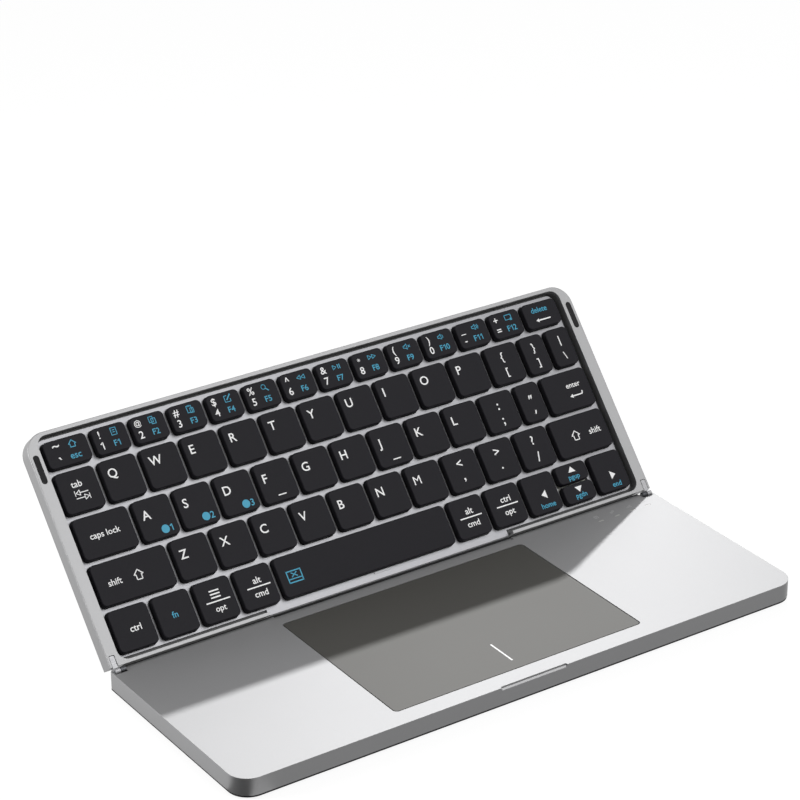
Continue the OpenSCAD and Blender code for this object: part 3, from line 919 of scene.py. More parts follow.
@dataclass
class KeyboardHalf(Half):
    """The half that carries the keys: rim frame, cover, key plate, bumpers, feet and hinge arms."""

    near: float = 1.8
    far: float = FAR
    rounds_near: bool = False
    grid: KeyGrid = field(default_factory=KeyGrid)
    thickness: float = BOARD_THICK
    back: float = 0.85
    hole_x: float = 120.05
    hole_near: float = 3.03
    hole_far: float = 91.68
    tongue: float = 55.7
    plate_z: float = -3.1
    plate_t: float = 0.8
    edge: float = 0.4
    near_edge: float = 0.95
    fine_edge: float = 0.15
    hole_corner: float = 4.1
    key_gap: float = 0.3
    arm_top: float = -0.05
    arm_end: float = 5.9
    bumper_top: float = 0.2
    screw_x: float = 122.5
    screw_y: tuple[float, ...] = (12.0, 46.0, 88.0)

    def rim(self) -> Piece:
        """Model the rim frame with its softened edges, bumper slots and hinge-arm pockets.

        Returns:
            The frame.
        """
        piece = self.slab("rim_frame", 0.0, self.back - self.thickness, 0.0)
        is_near = lambda v: v.y < self.near + 0.1
        others = lambda a, b: level(0.0)(a, b) and not (is_near(a) and is_near(b))
        bevel_edges(piece, others, self.edge, 4)
        bevel_edges(piece, level(0.0, is_near), self.near_edge, 8)
        hole = across(self.hole_x, self.hole_near, self.hole_far, -9, 2)
        cut(piece, rounded("opening", *hole, self.hole_corner, 8))
        inner = lambda v: abs(v.x) < self.hole_x + 0.01 and self.hole_near - 0.01 < v.y < self.hole_far + 0.01
        bevel_edges(piece, level(0.0, inner), self.fine_edge, 2)
        y0 = self.near - 1
        tools = [block("tongue_gap", *across(self.tongue + 0.75, y0, self.hole_near + 1, -3.95, 1))]
        for side in (-1, 1):
            tools.append(self.bumper_shape("bumper_slot", side, 0.1, 2.0))
            x = side * (self.half_width - 2.15)
            pocket = (x - 1.2, y0, -2.2), (x + 1.2, 6.15, 1)
            tools.append(rounded("arm_pocket", *pocket, 0.5, 3, lambda v: v.y > 3))
            x = side * self.screw_x
            tools.append(block("magnet_pocket", (x - 1.3, 54, -9), (x + 1.3, 70, -3)))
            tools += pins([(x, y) for y in self.screw_y], -9, -2.65, 0.6, 16)
        return cut(piece, *tools)

    def bumper_shape(self, name: str, side: int, gap: float, high: float) -> Piece:
        """Add the long round-ended shape of a rim bumper or its slot.

        Args:
            name: The object's name.
            side: -1 for the left end, 1 for the right.
            gap: How much it is grown all round.
            high: Its top.

        Returns:
            The shape.
        """
        x = side * (self.half_width - 2.4)
        r = 1.1 + gap
        return rounded(name, (x - r, 74 - gap, -1.2), (x + r, 85.2 + gap, high), r - 0.02, 8)

    def back_cover(self) -> Piece:
        """Model the outer cover with its softened edge and sunk screw holes.

        Returns:
            The cover.
        """
        face = -self.thickness
        piece = self.slab("outer_cover", COVER_INSET, face, face + self.back)
        bevel_edges(piece, level(face), 0.35, 4)
        places = [(x, y) for x in (-100, -50, 0, 50, 100) for y in (12, 46, 80)]
        cut(piece, joined("posts", pins(places, face + 0.4, -5.7, 2.0, 20)), mode="UNION")
        screws = [(side * self.screw_x, y) for side in (-1, 1) for y in self.screw_y]
        return cut(piece, *sunk_holes(screws, face, 0.4, 0.8, 1.3))

    def key_plate(self) -> Piece:
        """Model the key plate: one opening a key, the tongue over the hinge gap and the small stop.

        Returns:
            The plate.
        """
        z, low = self.plate_z, self.plate_z - self.plate_t
        piece = rounded("key_plate_sheet", (-119.6, 4.43, low), (118.7, 90.73, z), 3.0, 8)
        tongue = block("tongue", *across(self.tongue, 1.85, 6.0, low, z))
        bevel_edges(tongue, level(z, lambda v: v.y < 2), 0.3, 4)
        stop = rounded("stop", (-6.9, 4.3, z - 0.3), (1.0, 5.0, z + 0.35), 0.2, 2)
        cut(piece, tongue, stop, mode="UNION")
        holes, gap = [], self.key_gap
        for place in self.grid.all():
            x0, x1, y0, y1 = self.grid.key(place)
            holes.append(rounded("hole", (x0 - gap, y0 - gap, z - 3), (x1 + gap, y1 + gap, z + 2), 2.2, 4))
        return cut(piece, joined("holes", holes))

    def bumpers(self) -> Piece:
        """Model the two rubber bumpers in the rim, as one object."""
        shapes = [self.bumper_shape("bumper", side, 0.0, self.bumper_top) for side in (-1, 1)]
        return joined("rim_rubber_bumpers", [bevel_edges(s, level(self.bumper_top), 0.2, 3) for s in shapes])

    def back_feet(self) -> Piece:
        """Model the two rubber strips on the outer cover, as one object."""
        places = [((x, 84, -self.thickness - 0.5), (x + 20, 87, -self.thickness)) for x in (-108, 88)]
        return joined("cover_rubber_strips", [foot(*corners, 1.45, 8, 0.15) for corners in places])

    def shade(self) -> Piece:
        """Model the black strips that line the frame's hinge side, so that no light shows in the gap: painted
        shade, dark sheets standing in for the shade of the hinge gap.

        Returns:
            The three strips as one object.
        """
        y0, y1, low, end = self.near - 0.06, self.near, -5.9, 118.6
        side = self.tongue + 1.1
        parts = [block("strip", *across(self.tongue + 0.6, y0, y1, low, -4.15))]
        parts += [block("strip", (x0, y0, low), (x1, y1, -1.0)) for x0, x1 in ((-end, -side), (side, end))]
        return joined("hinge_side_painted_shade_strips", parts)

    def arms(self) -> Piece:
        """Model the two hinge arms: a bar let into the rim, ending in a bored knuckle.

        Returns:
            Both arms as one object.
        """
        w, top = self.half_width, self.arm_top
        bar = block("arm", (w - 3.1, 0, -2.2), (w - 1.1, self.arm_end, top))
        cut(bar, rod("knuckle", (w - 3.1, 0, LIFT), (w - 1.1, 0, LIFT), 1.25, 36), mode="UNION")
        cut(bar, rod("bore", (w - 4, 0, LIFT), (w, 0, LIFT), 0.62, 24))
        bevel_edges(bar, along(2, lambda v: v.y > self.arm_end - 0.1), 0.45, 3)
        softened = lambda a, b: level(top)(a, b) and (abs(a.x - b.x) < NEAR or a.y > self.arm_end - 0.6)
        bevel_edges(bar, softened, self.fine_edge, 2)
        return joined("hinge_arm_pair", [bar, mirrored(bar)])

    def build(self) -> list[Piece]:
        """Model, dress and fix the keyboard half's pieces.

        Returns:
            The new pieces.
        """
        body = "keyboard_half"
        jobs = (
            (self.rim, Finishes.SHELL, body, "keyboard_frame", "shell_aluminium"),
            (self.back_cover, Finishes.SHELL, body, "back_cover", "shell_aluminium"),
            (self.key_plate, Finishes.PLATE, body, "key_plate", "key_plate_metal"),
            (self.bumpers, Finishes.RUBBER, body, "rim_bumpers", "black_rubber"),
            (self.back_feet, Finishes.RUBBER, body, "back_feet", "black_rubber"),
            (self.arms, Finishes.ARM, body, "hinge_arms", "hinge_arm_metal"),
            # The hinge-side strips are painted shade: black rubber standing in for the shade of the hinge
            # gap.
            (self.shade, Finishes.RUBBER, body, "", "black_rubber"),
        )
        return self.fit(BOARD_SPACE, jobs)


# ---------------------------------------------------------------- keys and their print


class Ink(Enum):
    """Which ink a mark is printed in."""

    WHITE = Finishes.INK_WHITE
    BLUE = Finishes.INK_BLUE


@dataclass(frozen=True)
class Word:
    """A letter or word printed on a key: x from the key's left edge, y down from its far edge.

    The height is that of a capital letter. The point is the middle of a line of capitals, or with
    centred set, the middle of the glyphs themselves, as for signs that stand high or low.
    """

    text: str
    x: float
    y: float
    height: float
    ink: Ink = Ink.WHITE
    align: str = "CENTER"
    centred: bool = False
    lean: float = 0.0


@dataclass(frozen=True)
class Stroke:
    """A printed line from one point to another, measured as a word is."""

    x0: float
    y0: float
    x1: float
    y1: float
    width: float = 0.45
    ink: Ink = Ink.WHITE

    def moved(self, x: float, y: float) -> "Stroke":
        """Give the same line moved on its key."""
        return replace(self, x0=self.x0 + x, y0=self.y0 + y, x1=self.x1 + x, y1=self.y1 + y)


@dataclass(frozen=True)
class Spot:
    """A printed solid with a few corners, or a disc, measured as a word is."""

    x: float
    y: float
    radius: float
    corners: int = 24
    turn: float = 0.0
    ink: Ink = Ink.WHITE
    squash: float = 1.0

    def moved(self, x: float, y: float) -> "Spot":
        """Give the same solid moved on its key."""
        return replace(self, x=self.x + x, y=self.y + y)


Mark = Word | Stroke | Spot


def sketch(ink: Ink, *lines: tuple) -> tuple[Stroke, ...]:
    """Give the strokes of a line drawing, each line given as its width and the points that it joins."""
    return tuple(Stroke(*a, *b, width, ink) for width, *spots in lines for a, b in zip(spots, spots[1:]))


def outline(x0: float, y0: float, x1: float, y1: float, width: float) -> tuple[Stroke, ...]:
    """Give the four strokes of a blue rectangle, from its upper left to its lower right corner.

    Args:
        x0: Left edge.
        y0: Upper edge.
        x1: Right edge.
        y1: Lower edge.
        width: The line's width.

    Returns:
        The strokes.
    """
    left, right = x0 - width / 2.0, x1 + width / 2.0
    lines = ((left, y0), (right, y0)), ((left, y1), (right, y1)), ((x0, y0), (x0, y1)), ((x1, y0), (x1, y1))
    return sketch(Ink.BLUE, *((width, *ends) for ends in lines))


def arrow_pair(side: int) -> tuple[Stroke, ...]:
    """Give two hollow blue arrow heads in a row, pointing left for -1 and right for 1.

    Args:
        side: Where they point.

    Returns:
        The strokes.
    """
    heads = []
    for x in (-1.0, 0.9):
        back, tip = x - 0.8 * side, x + 0.8 * side
        heads.append((0.26, (back, -0.85), (tip, 0), (back, 0.85), (back, -0.85)))
    return sketch(Ink.BLUE, *heads)


THIN = 0.28
HORN = (0.1, -1.1), (0.1, 1.1)
SPEAKER = (THIN, (-1.5, -0.45), (-0.8, -0.45), *HORN, (-0.8, 0.45), (-1.5, 0.45), (-1.5, -0.45))
WAVE = (THIN, (0.7, -0.6), (0.95, 0), (0.7, 0.6))
RING = [(0.95 * math.cos(i * math.pi / 6) - 0.35, 0.95 * math.sin(i * math.pi / 6) - 0.35) for i in range(13)]


class Icon(Enum):
    """The plain generic pictures on the number row's keys, in the order of the keys, round their middle."""

    HOME = sketch(
        Ink.BLUE, (0.35, (-1.5, 0.1), (0, -1.4), (1.5, 0.1)),
        (0.35, (-1.0, 0), (-1.0, 1.3), (1.0, 1.3), (1.0, 0)),
    )
    PAGE = outline(-1.1, -1.4, 1.1, 1.4, THIN) + sketch(
        Ink.BLUE, (0.3, (-0.5, -0.5), (0.5, -0.5)), (0.3, (-0.5, 0.3), (0.5, 0.3))
    )
    COPY = outline(-1.3, -1.4, 0.4, 0.8, THIN) + outline(-0.4, -0.6, 1.3, 1.5, THIN)
    PASTE = (
        outline(-1.3, -1.3, 0.7, 1.3, THIN)
        + outline(-0.1, -0.3, 1.3, 1.5, THIN)
        + sketch(Ink.BLUE, (0.6, (-0.9, -1.3), (0.3, -1.3)))
    )
    EDIT = sketch(
        Ink.BLUE, (THIN, (1.1, 0.2), (1.1, 1.4), (-1.3, 1.4), (-1.3, -1.1), (-0.1, -1.1)),
        (0.5, (-0.4, 0.5), (1.4, -1.4)),
    )
    FIND = sketch(Ink.BLUE, (THIN, *RING), (0.45, (0.4, 0.4), (1.4, 1.4)))
    BACK = arrow_pair(-1)
    PLAY = sketch(
        Ink.BLUE, (0.26, (-1.7, -0.9), (-0.2, 0), (-1.7, 0.9), (-1.7, -0.9)),
        (0.35, (0.6, -0.9), (0.6, 0.9)), (0.35, (1.4, -0.9), (1.4, 0.9)),
    )
    NEXT = arrow_pair(1)
    MUTE = sketch(Ink.BLUE, SPEAKER, (THIN, (0.7, -0.4), (1.5, 0.4)), (THIN, (0.7, 0.4), (1.5, -0.4)))
    QUIET = sketch(Ink.BLUE, SPEAKER, WAVE)
    LOUD = sketch(Ink.BLUE, SPEAKER, WAVE, (THIN, (1.2, -0.9), (1.6, 0), (1.2, 0.9)))
    LOCK = (*outline(-1.6, -1.1, 1.4, 0.9, THIN), Spot(1.1, 0.9, 0.7, 4, math.pi / 4, Ink.BLUE))

    def marks(self, x: float, y: float) -> list[Mark]:
        """Draw the picture round a point of a key."""
        return [mark.moved(x, y) for mark in self.value]


@dataclass
class KeyPrint:
    """Says what is printed on each key: plain letters, digits, signs and function words."""

    letters: dict[int, tuple[str, float]] = field(
        default_factory=lambda: {3: ("QWERTYUIOP", 3.6), 2: ("ASDFGHJKL", 4.45), 1: ("ZXCVBNM", 4.4)}
    )
    shifted: str = "!@#$%^&*()_+"
    plain: str = "1234567890-="

    def one(self, x: float, y: float, height: float, ink: Ink) -> tuple[Stroke, ...]:
        """Draw a figure 1 with its flag, which the built-in letters lack.

        Args:
            x: Its stem.
            y: Its middle.
            height: Its height.
            ink: Its ink.

        Returns:
            The flag and the stem.
        """
        width, top = height * 0.16, y - 0.5 * height
        flag = (width, (x - 0.3 * height, y - 0.24 * height), (x, top + width / 2))
        return sketch(ink, flag, (width, (x, top), (x, y + 0.5 * height)))

    def label(self, text: str, x: float, y: float, height: float, ink: Ink) -> list[Mark]:
        """Set a short label letter by letter, so that each 1 gets its flag.

        Args:
            text: The label.
            x: Its middle.
            y: The middle of its line.
            height: Its height.
            ink: Its ink.

        Returns:
            The marks.
        """
        step = 0.66 * height
        start = x - step * (len(text) - 1) / 2.0
        marks: list[Mark] = []
        for k, letter in enumerate(text):
            if letter == "1":
                marks += self.one(start + k * step + 0.1 * height, y, height, ink)
            else:
                marks.append(Word(letter, start + k * step, y, height, ink))
        return marks

    def number(self, i: int) -> list[Mark]:
        """List the marks on a key of the number row.

        Args:
            i: 1 for the key 1, up to 12 for the equals key.

        Returns:
            The sign, the digit, the F number and the small picture.
        """
        sign = self.shifted[i - 1]
        odd_height = sign in "@*"
        return [
            Word(sign, 2.8, 2.9, 2.1 if odd_height else 2.9, centred=odd_height),
            *self.label(self.plain[i - 1], 2.8, 7.3, 2.9, Ink.WHITE),
            *self.label(f"F{i}", 9.0, 7.4, 2.3, Ink.BLUE),
            *list(Icon)[i].marks(9.0, 2.9),
        ]

    def letter(self, letter: str, top: float) -> list[Mark]:
        """List the marks on a letter key.

        Args:
            letter: The letter.
            top: How far the letter's top lies below the key's far edge.

        Returns:
            The letter, the touch bar on F and J, and the blue numbered dot on A, S and D.
        """
        marks: list[Mark] = [Word(letter, 2.3, top + 1.75, 3.5, align="LEFT")]
        if letter in "FJ":
            marks.append(Stroke(6.2, 13.75, 9.8, 13.75))
        if letter in "ASD":
            marks.append(Spot(9.6, 13.2, 1.65, ink=Ink.BLUE))
            marks += self.label(str("ASD".index(letter) + 1), 12.3, 13.2, 2.6, Ink.BLUE)
        return marks

    def arrow(self, x: float, y: float, turn: float) -> Spot:
        """Give a solid arrow head pointing along a turn from the right, in radians."""
        return Spot(x, y, 1.6, 3, turn, squash=1.25)

    def divided(self, x: float, over: str, under: str) -> list[Mark]:
        """List a word over a line over another word, as on the keys beside the space bar."""
        return [Word(over, x, 5.6, 2.5), Stroke(x - 5.1, 8.2, x + 5.1, 8.2, 0.5), Word(under, x, 10.9, 2.4)]

    def shift(self, x: float, word: float) -> list[Mark]:
        """List the word and the hollow arrow of a shift key, x being the arrow's middle.

        Args:
            x: The arrow's middle.
            word: The word's left edge.

        Returns:
            The marks.
        """
        neck = (x - 1.1, 10.1), (x - 1.1, 8.2)
        head = (x - 1.9, 8.2), (x, 6.3), (x + 1.9, 8.2)
        arrow = (0.4, *neck, *head, (x + 1.1, 8.2), (x + 1.1, 10.1), neck[0])
        return [Word("shift", word, 8.2, 2.4, align="LEFT"), *sketch(Ink.WHITE, arrow)]

    def pair(self, row: int, i: int) -> list[Mark]:
        """List the two signs on a key right of the letters.

        Args:
            row: The key's row.
            i: The key's place in its row.

        Returns:
            The upper and the lower sign.
        """
        signs = {
            (3, 11): ("{[", 7.1), (3, 12): ("}]", 5.4), (3, 13): ("|\\", 5.3), (2, 10): (":;", 7.4),
            (2, 11): ("\"'", 5.6), (1, 8): ("<,", 6.9), (1, 9): (">.", 7.4), (1, 10): ("?/", 7.5),
        }
        places = {3: ((5.5, 3.2), (11.9, 3.0)), 2: ((6.0, 3.9), (12.5, 3.9)), 1: ((4.8, 3.5), (11.8, 3.9))}
        text, x = signs[row, i]
        lean = 0.3 if "'" in text else 0.0
        return [Word(sign, x, *place, centred=True, lean=lean) for sign, place in zip(text, places[row])]

    def special(self) -> dict[Place, list[Mark]]:
        """List the marks of the keys that carry words, arrows or pictures.

        Returns:
            The place of each such key, and its marks.
        """
        white, blue, left = Ink.WHITE, Ink.BLUE, math.pi
        ends = (0.3, (5.5, 7.9), (5.5, 10.1)), (0.3, (11.0, 9.9), (11.0, 12.1))
        bars = (0.35, (7.6, 9.0), (11.0, 9.0)), (0.35, (5.4, 11.0), (8.8, 11.0))
        heads = (
            (0.3, (7.5, 8.0), (5.9, 9.0), (7.5, 10.0), (7.5, 8.0)),
            (0.3, (9.0, 10.0), (10.7, 11.0), (9.0, 12.0), (9.0, 10.0)),
        )
        hook = sketch(white, (0.5, (16.9, 9.6), (16.6, 10.6), (15.6, 10.75), (11.9, 10.75)))
        cross = (0.4, (5.4, 7.2), (7.7, 8.8)), (0.4, (5.4, 8.8), (7.7, 7.2))
        menu = [(0.55, (5.6, y), (9.8, y)) for y in (4.4, 5.7, 7.0)] + [(0.5, (3.0, 8.6), (13.2, 8.6))]
        tilde = [Word("~", 5.0, 2.5, 3.6, centred=True), Word("`", 5.0, 7.4, 4.2, centred=True)]
        pad_off = outline(3.5, 6.5, 9.6, 10.9, 0.45) + sketch(blue, (0.4, (3.7, 9.6), (9.4, 9.6)), *cross)
        return {
            (4, 0, 0): [*tilde, *Icon.HOME.marks(11.7, 3.0), Word("esc", 11.6, 7.4, 2.5, blue)],
            (4, 13, 0): [
                Word("delete", 7.7, 3.2, 2.2, blue),
                Stroke(6.0, 7.7, 11.7, 7.7, 0.55),
                Spot(5.5, 7.7, 0.95, 3, left),
            ],
            (3, 0, 0): [Word("tab", 5.1, 5.4, 2.5, align="LEFT"), *sketch(white, *ends, *bars, *heads)],
            (2, 0, 0): [Word("caps lock", 4.8, 7.8, 2.35, align="LEFT")],
            (2, 12, 0): [Word("enter", 13.8, 6.1, 2.2), *hook, Spot(11.5, 10.75, 1.0, 3, left)],
            (1, 0, 0): self.shift(17.7, 4.9),
            (1, 11, 0): self.shift(10.2, 16.8),
            (0, 0, 0): [Word("ctrl", 8.9, 8.4, 2.5)],
            (0, 1, 0): [Word("fn", 7.1, 8.4, 2.4, blue)],
            (0, 2, 0): [*sketch(white, *menu), Word("opt", 8.1, 11.4, 2.3)],
            (0, 3, 0): self.divided(8.4, "alt", "cmd"),
            (0, 4, 0): list(pad_off),
            (0, 5, 0): self.divided(8.1, "alt", "cmd"),
            (0, 6, 0): self.divided(8.1, "ctrl", "opt"),
            (0, 7, 0): [self.arrow(8.5, 8.9, left), Word("home", 8.5, 13.3, 2.1, blue)],
            (0, 8, 1): [self.arrow(7.4, 2.2, -math.pi / 2), Word("pgdn", 7.5, 5.0, 2.0, blue)],
            (0, 8, 2): [self.arrow(7.4, 2.9, math.pi / 2), Word("pgup", 7.5, 5.6, 2.0, blue)],
            (0, 9, 0): [self.arrow(7.9, 9.8, 0.0), Word("end", 8.5, 13.8, 2.1, blue)],
        }

    def marks(self, place: Place) -> list[Mark]:
        """List the marks on any key.

        Args:
            place: The key's place.

        Returns:
            The marks, measured from the key's left and far edge.
        """
        special = self.special()
        if place in special:
            return special[place]
        row, i, _ = place
        if row == 4:
            return self.number(i)
        text, top = self.letters[row]
        return self.letter(text[i - 1], top) if i <= len(text) else self.pair(row, i)


@dataclass
class Keys:
    """All key caps with their print, a piece for every key or bank of keys that moves as one."""

    wardrobe: Wardrobe
    grid: KeyGrid
    labels: KeyPrint = field(default_factory=KeyPrint)
    top: float = -0.1
    bottom: float = -3.2
    roof: float = 1.0
    radius: float = 1.9
    draft: float = 0.12
    wall: float = 1.0
    edge: float = 0.4
    print_lift: float = 0.02
    font_size: float = 10.0
    cap_height: float = 6.94
    caps: dict[Plan, bpy.types.Mesh] = field(default_factory=dict)
    banks: tuple[tuple[str, int, int, int, int], ...] = (
        ("left_ctrl_key", 0, 0, 0, 0), ("fn_key", 0, 1, 1, 0), ("menu_key", 0, 2, 2, 0),
        ("left_alt_key", 0, 3, 3, 0), ("space_bar", 0, 4, 4, 0), ("right_alt_key", 0, 5, 5, 0),
        ("right_ctrl_key", 0, 6, 6, 0), ("left_arrow_key", 0, 7, 7, 0), ("down_arrow_key", 0, 8, 8, 1),
        ("up_arrow_key", 0, 8, 8, 2), ("right_arrow_key", 0, 9, 9, 0), ("left_shift_key", 1, 0, 0, 0),
        ("lower_letter_keys_left", 1, 1, 5, 0), ("lower_letter_keys_right", 1, 6, 10, 0),
        ("right_shift_key", 1, 11, 11, 0), ("caps_lock_key", 2, 0, 0, 0),
        ("middle_letter_keys_left", 2, 1, 5, 0), ("middle_letter_keys_right", 2, 6, 11, 0),
        ("enter_key", 2, 12, 12, 0), ("tab_key", 3, 0, 0, 0), ("upper_letter_keys_left", 3, 1, 5, 0),
        ("upper_letter_keys_right", 3, 6, 10, 0), ("bracket_keys", 3, 11, 13, 0), ("esc_key", 4, 0, 0, 0),
        ("number_keys_left", 4, 1, 6, 0), ("number_keys_right", 4, 7, 12, 0), ("delete_key", 4, 13, 13, 0),
    )

    def cap_mesh(self, wide: float, deep: float) -> bpy.types.Mesh:
        """Model a hollow cap of one size round the origin, once, and keep it for its twins.

        Args:
            wide: The top's width.
            deep: The top's depth.

        Returns:
            The cap's mesh.
        """
        size = (round(wide, 3), round(deep, 3))
        if size in self.caps:
            return self.caps[size]
        w, d, f = wide / 2.0, deep / 2.0, self.draft
        piece = rounded("cap", *across(w + f, -d - f, d + f, self.bottom, self.top), self.radius + f)
        select_parts(piece, "FACE", lambda normal: normal.z > 0.9)
        bpy.ops.transform.resize(value=(w / (w + f), d / (d + f), 1.0), center_override=(0.0, 0.0, self.top))
        bpy.ops.object.mode_set(mode="OBJECT")
        select_parts(piece, "FACE", lambda normal: normal.z < -0.9)
        bpy.ops.mesh.inset(thickness=self.wall, depth=0.0)
        rise = (0.0, 0.0, self.top - self.roof - self.bottom)
        bpy.ops.mesh.extrude_region_move(TRANSFORM_OT_translate={"value": rise})
        bpy.ops.object.mode_set(mode="OBJECT")
        bevel_edges(piece, level(self.top), self.edge, 4)
        self.caps[size] = piece.data.copy()
        bpy.data.objects.remove(piece)
        return self.caps[size]

    def cap(self, place: Place) -> Piece:
        """Add the cap of one key.

        Args:
            place: The key's place.

        Returns:
            The cap.
        """
        x0, x1, y0, y1 = self.grid.key(place)
        piece = bpy.data.objects.new("cap", self.cap_mesh(x1 - x0, y1 - y0).copy())
        bpy.context.scene.collection.objects.link(piece)
        pick(piece)
        piece.location = ((x0 + x1) / 2.0, (y0 + y1) / 2.0, 0.0)
        bpy.ops.object.transform_apply(location=True, rotation=False, scale=False)
        return piece

    def word(self, mark: Word, x: float, y: float) -> Piece:
        """Print a word as a flat mesh scaled to its real height.

        Args:
            mark: The word.
            x: The key's left edge.
            y: The key's far edge.

        Returns:
            The flat mesh.
        """
        pick()
        bpy.ops.object.text_add()
        text = bpy.context.active_object.data
        text.body = mark.text
        text.size = self.font_size
        text.offset = 0.0 if "M" in mark.text else 0.12
        text.resolution_u = 3
        text.shear = mark.lean
        bpy.ops.object.convert(target="MESH")
        piece = bpy.context.active_object
        wide, high = ([v.co[axis] for v in piece.data.vertices] for axis in (0, 1))
        anchor = min(wide) if mark.align == "LEFT" else (min(wide) + max(wide)) / 2.0
        middle = (min(high) + max(high)) / 2.0 if mark.centred else self.cap_height / 2.0
        scale = mark.height / self.cap_height
        piece.scale = (scale, scale, 1.0)
        place = (x + mark.x - anchor * scale, y - mark.y - middle * scale)
        piece.location = (*place, self.top + self.print_lift)
        bpy.ops.object.transform_apply()
        return piece

    def pressed(self, long: float, high: float, turn: float) -> Piece:
        """Scale and turn the flat mesh that was just added.

        Args:
            long: Its scale along the line.
            high: Its scale across the line.
            turn: Its turn in its plane, in radians.

        Returns:
            The flat mesh.
        """
        piece = bpy.context.active_object
        piece.scale = (long, high, 1.0)
        piece.rotation_euler = (0.0, 0.0, turn)
        bpy.ops.object.transform_apply()
        return piece

    def stroke(self, mark: Stroke, x: float, y: float) -> Piece:
        """Print a straight line as a flat mesh, a sloping one a little longer so that corners close.

        Args:
            mark: The line.
            x: The key's left edge.
            y: The key's far edge.

        Returns:
            The flat mesh.
        """
        pick()
        a = Vector((x + mark.x0, y - mark.y0, self.top + self.print_lift))
        b = Vector((x + mark.x1, y - mark.y1, self.top + self.print_lift))
        bpy.ops.mesh.primitive_plane_add(size=1.0, location=(a + b) / 2.0)
        slopes = mark.x0 != mark.x1 and mark.y0 != mark.y1
        long = (b - a).length + (mark.width * 0.6 if slopes else 0.0)
        return self.pressed(long, mark.width, math.atan2(b.y - a.y, b.x - a.x))

    def spot(self, mark: Spot, x: float, y: float) -> Piece:
        """Print a disc or a solid of a few corners as a flat mesh.

        Args:
            mark: The spot.
            x: The key's left edge.
            y: The key's far edge.

        Returns:
            The flat mesh.
        """
        pick()
        place = (x + mark.x, y - mark.y, self.top + self.print_lift)
        bpy.ops.mesh.primitive_circle_add(
            vertices=mark.corners, radius=mark.radius, fill_type="NGON", location=place
        )
        return self.pressed(mark.squash, 1.0, mark.turn - math.pi / 2.0)

    def printed(self, ink: Ink, place: Place) -> list[Piece]:
        """Print one key's marks of one ink.

        Args:
            ink: The ink.
            place: The key's place.

        Returns:
            A flat mesh for each mark.
        """
        x, _, _, y = self.grid.key(place)
        ways = {Word: self.word, Stroke: self.stroke, Spot: self.spot}
        return [ways[type(mark)](mark, x, y) for mark in self.labels.marks(place) if mark.ink is ink]

    def build(self) -> list[Piece]:
        """Model, print, dress and fix every key.

        Returns:
            The caps and their prints.
        """
        pieces = []
        for node, row, first, last, part in self.banks:
            places = [(row, i, part) for i in range(first, last + 1)]
            name = node.replace("_key", "_cap").replace("space_bar", "space_bar_cap")
            cap = laid(joined(name, [self.cap(place) for place in places]), BOARD_SPACE, 40.0)
            pieces.append(fix(self.wardrobe, cap, Finishes.KEY, node, node, "key_black"))
            for ink in Ink:
                flat = [mark for place in places for mark in self.printed(ink, place)]
                if flat:
                    piece = laid(joined(f"{name}_print_{ink.name.lower()}", flat), BOARD_SPACE)
                    pieces.append(fix(self.wardrobe, piece, ink.value, node, "", ""))
        return pieces


# ---------------------------------------------------------------- inside pieces, floor and light


class Inside:
    """Dresses the CAD solids that are shown as they are."""

    finishes: dict[str, Finishes] = {
        "touchpad_board": Finishes.BOARD, "touchpad_tray": Finishes.SHEET, "click_switch": Finishes.SPACER,
        "main_board": Finishes.BOARD, "board_shield": Finishes.SHEET, "left_battery": Finishes.POUCH,
        "right_battery": Finishes.POUCH, "usb_c_socket": Finishes.SHEET, "palm_magnets": Finishes.MAGNET,
        "case_screws": Finishes.SCREW, "ribbon_cable": Finishes.RIBBON, "hinge_brackets": Finishes.SCREW,
        "hinge_pins": Finishes.STEEL, "hinge_screws": Finishes.SCREW, "spacer_frame": Finishes.SPACER,
        "base_plate": Finishes.SHEET, "contact_membrane": Finishes.FILM, "dome_sheet": Finishes.DOME,
        "scissor_links": Finishes.LINK, "stabiliser_bars": Finishes.STEEL,
        "keyboard_magnets": Finishes.MAGNET, "frame_screws": Finishes.SCREW,
    }

    def build(self, wardrobe: Wardrobe) -> None:
        """Dress every solid that stays.

        Args:
            wardrobe: The materials.
        """
        for node, finish in self.finishes.items():
            wardrobe.dress(frame["nodes"][node], finish)
            log.info("%s: dressed", node)


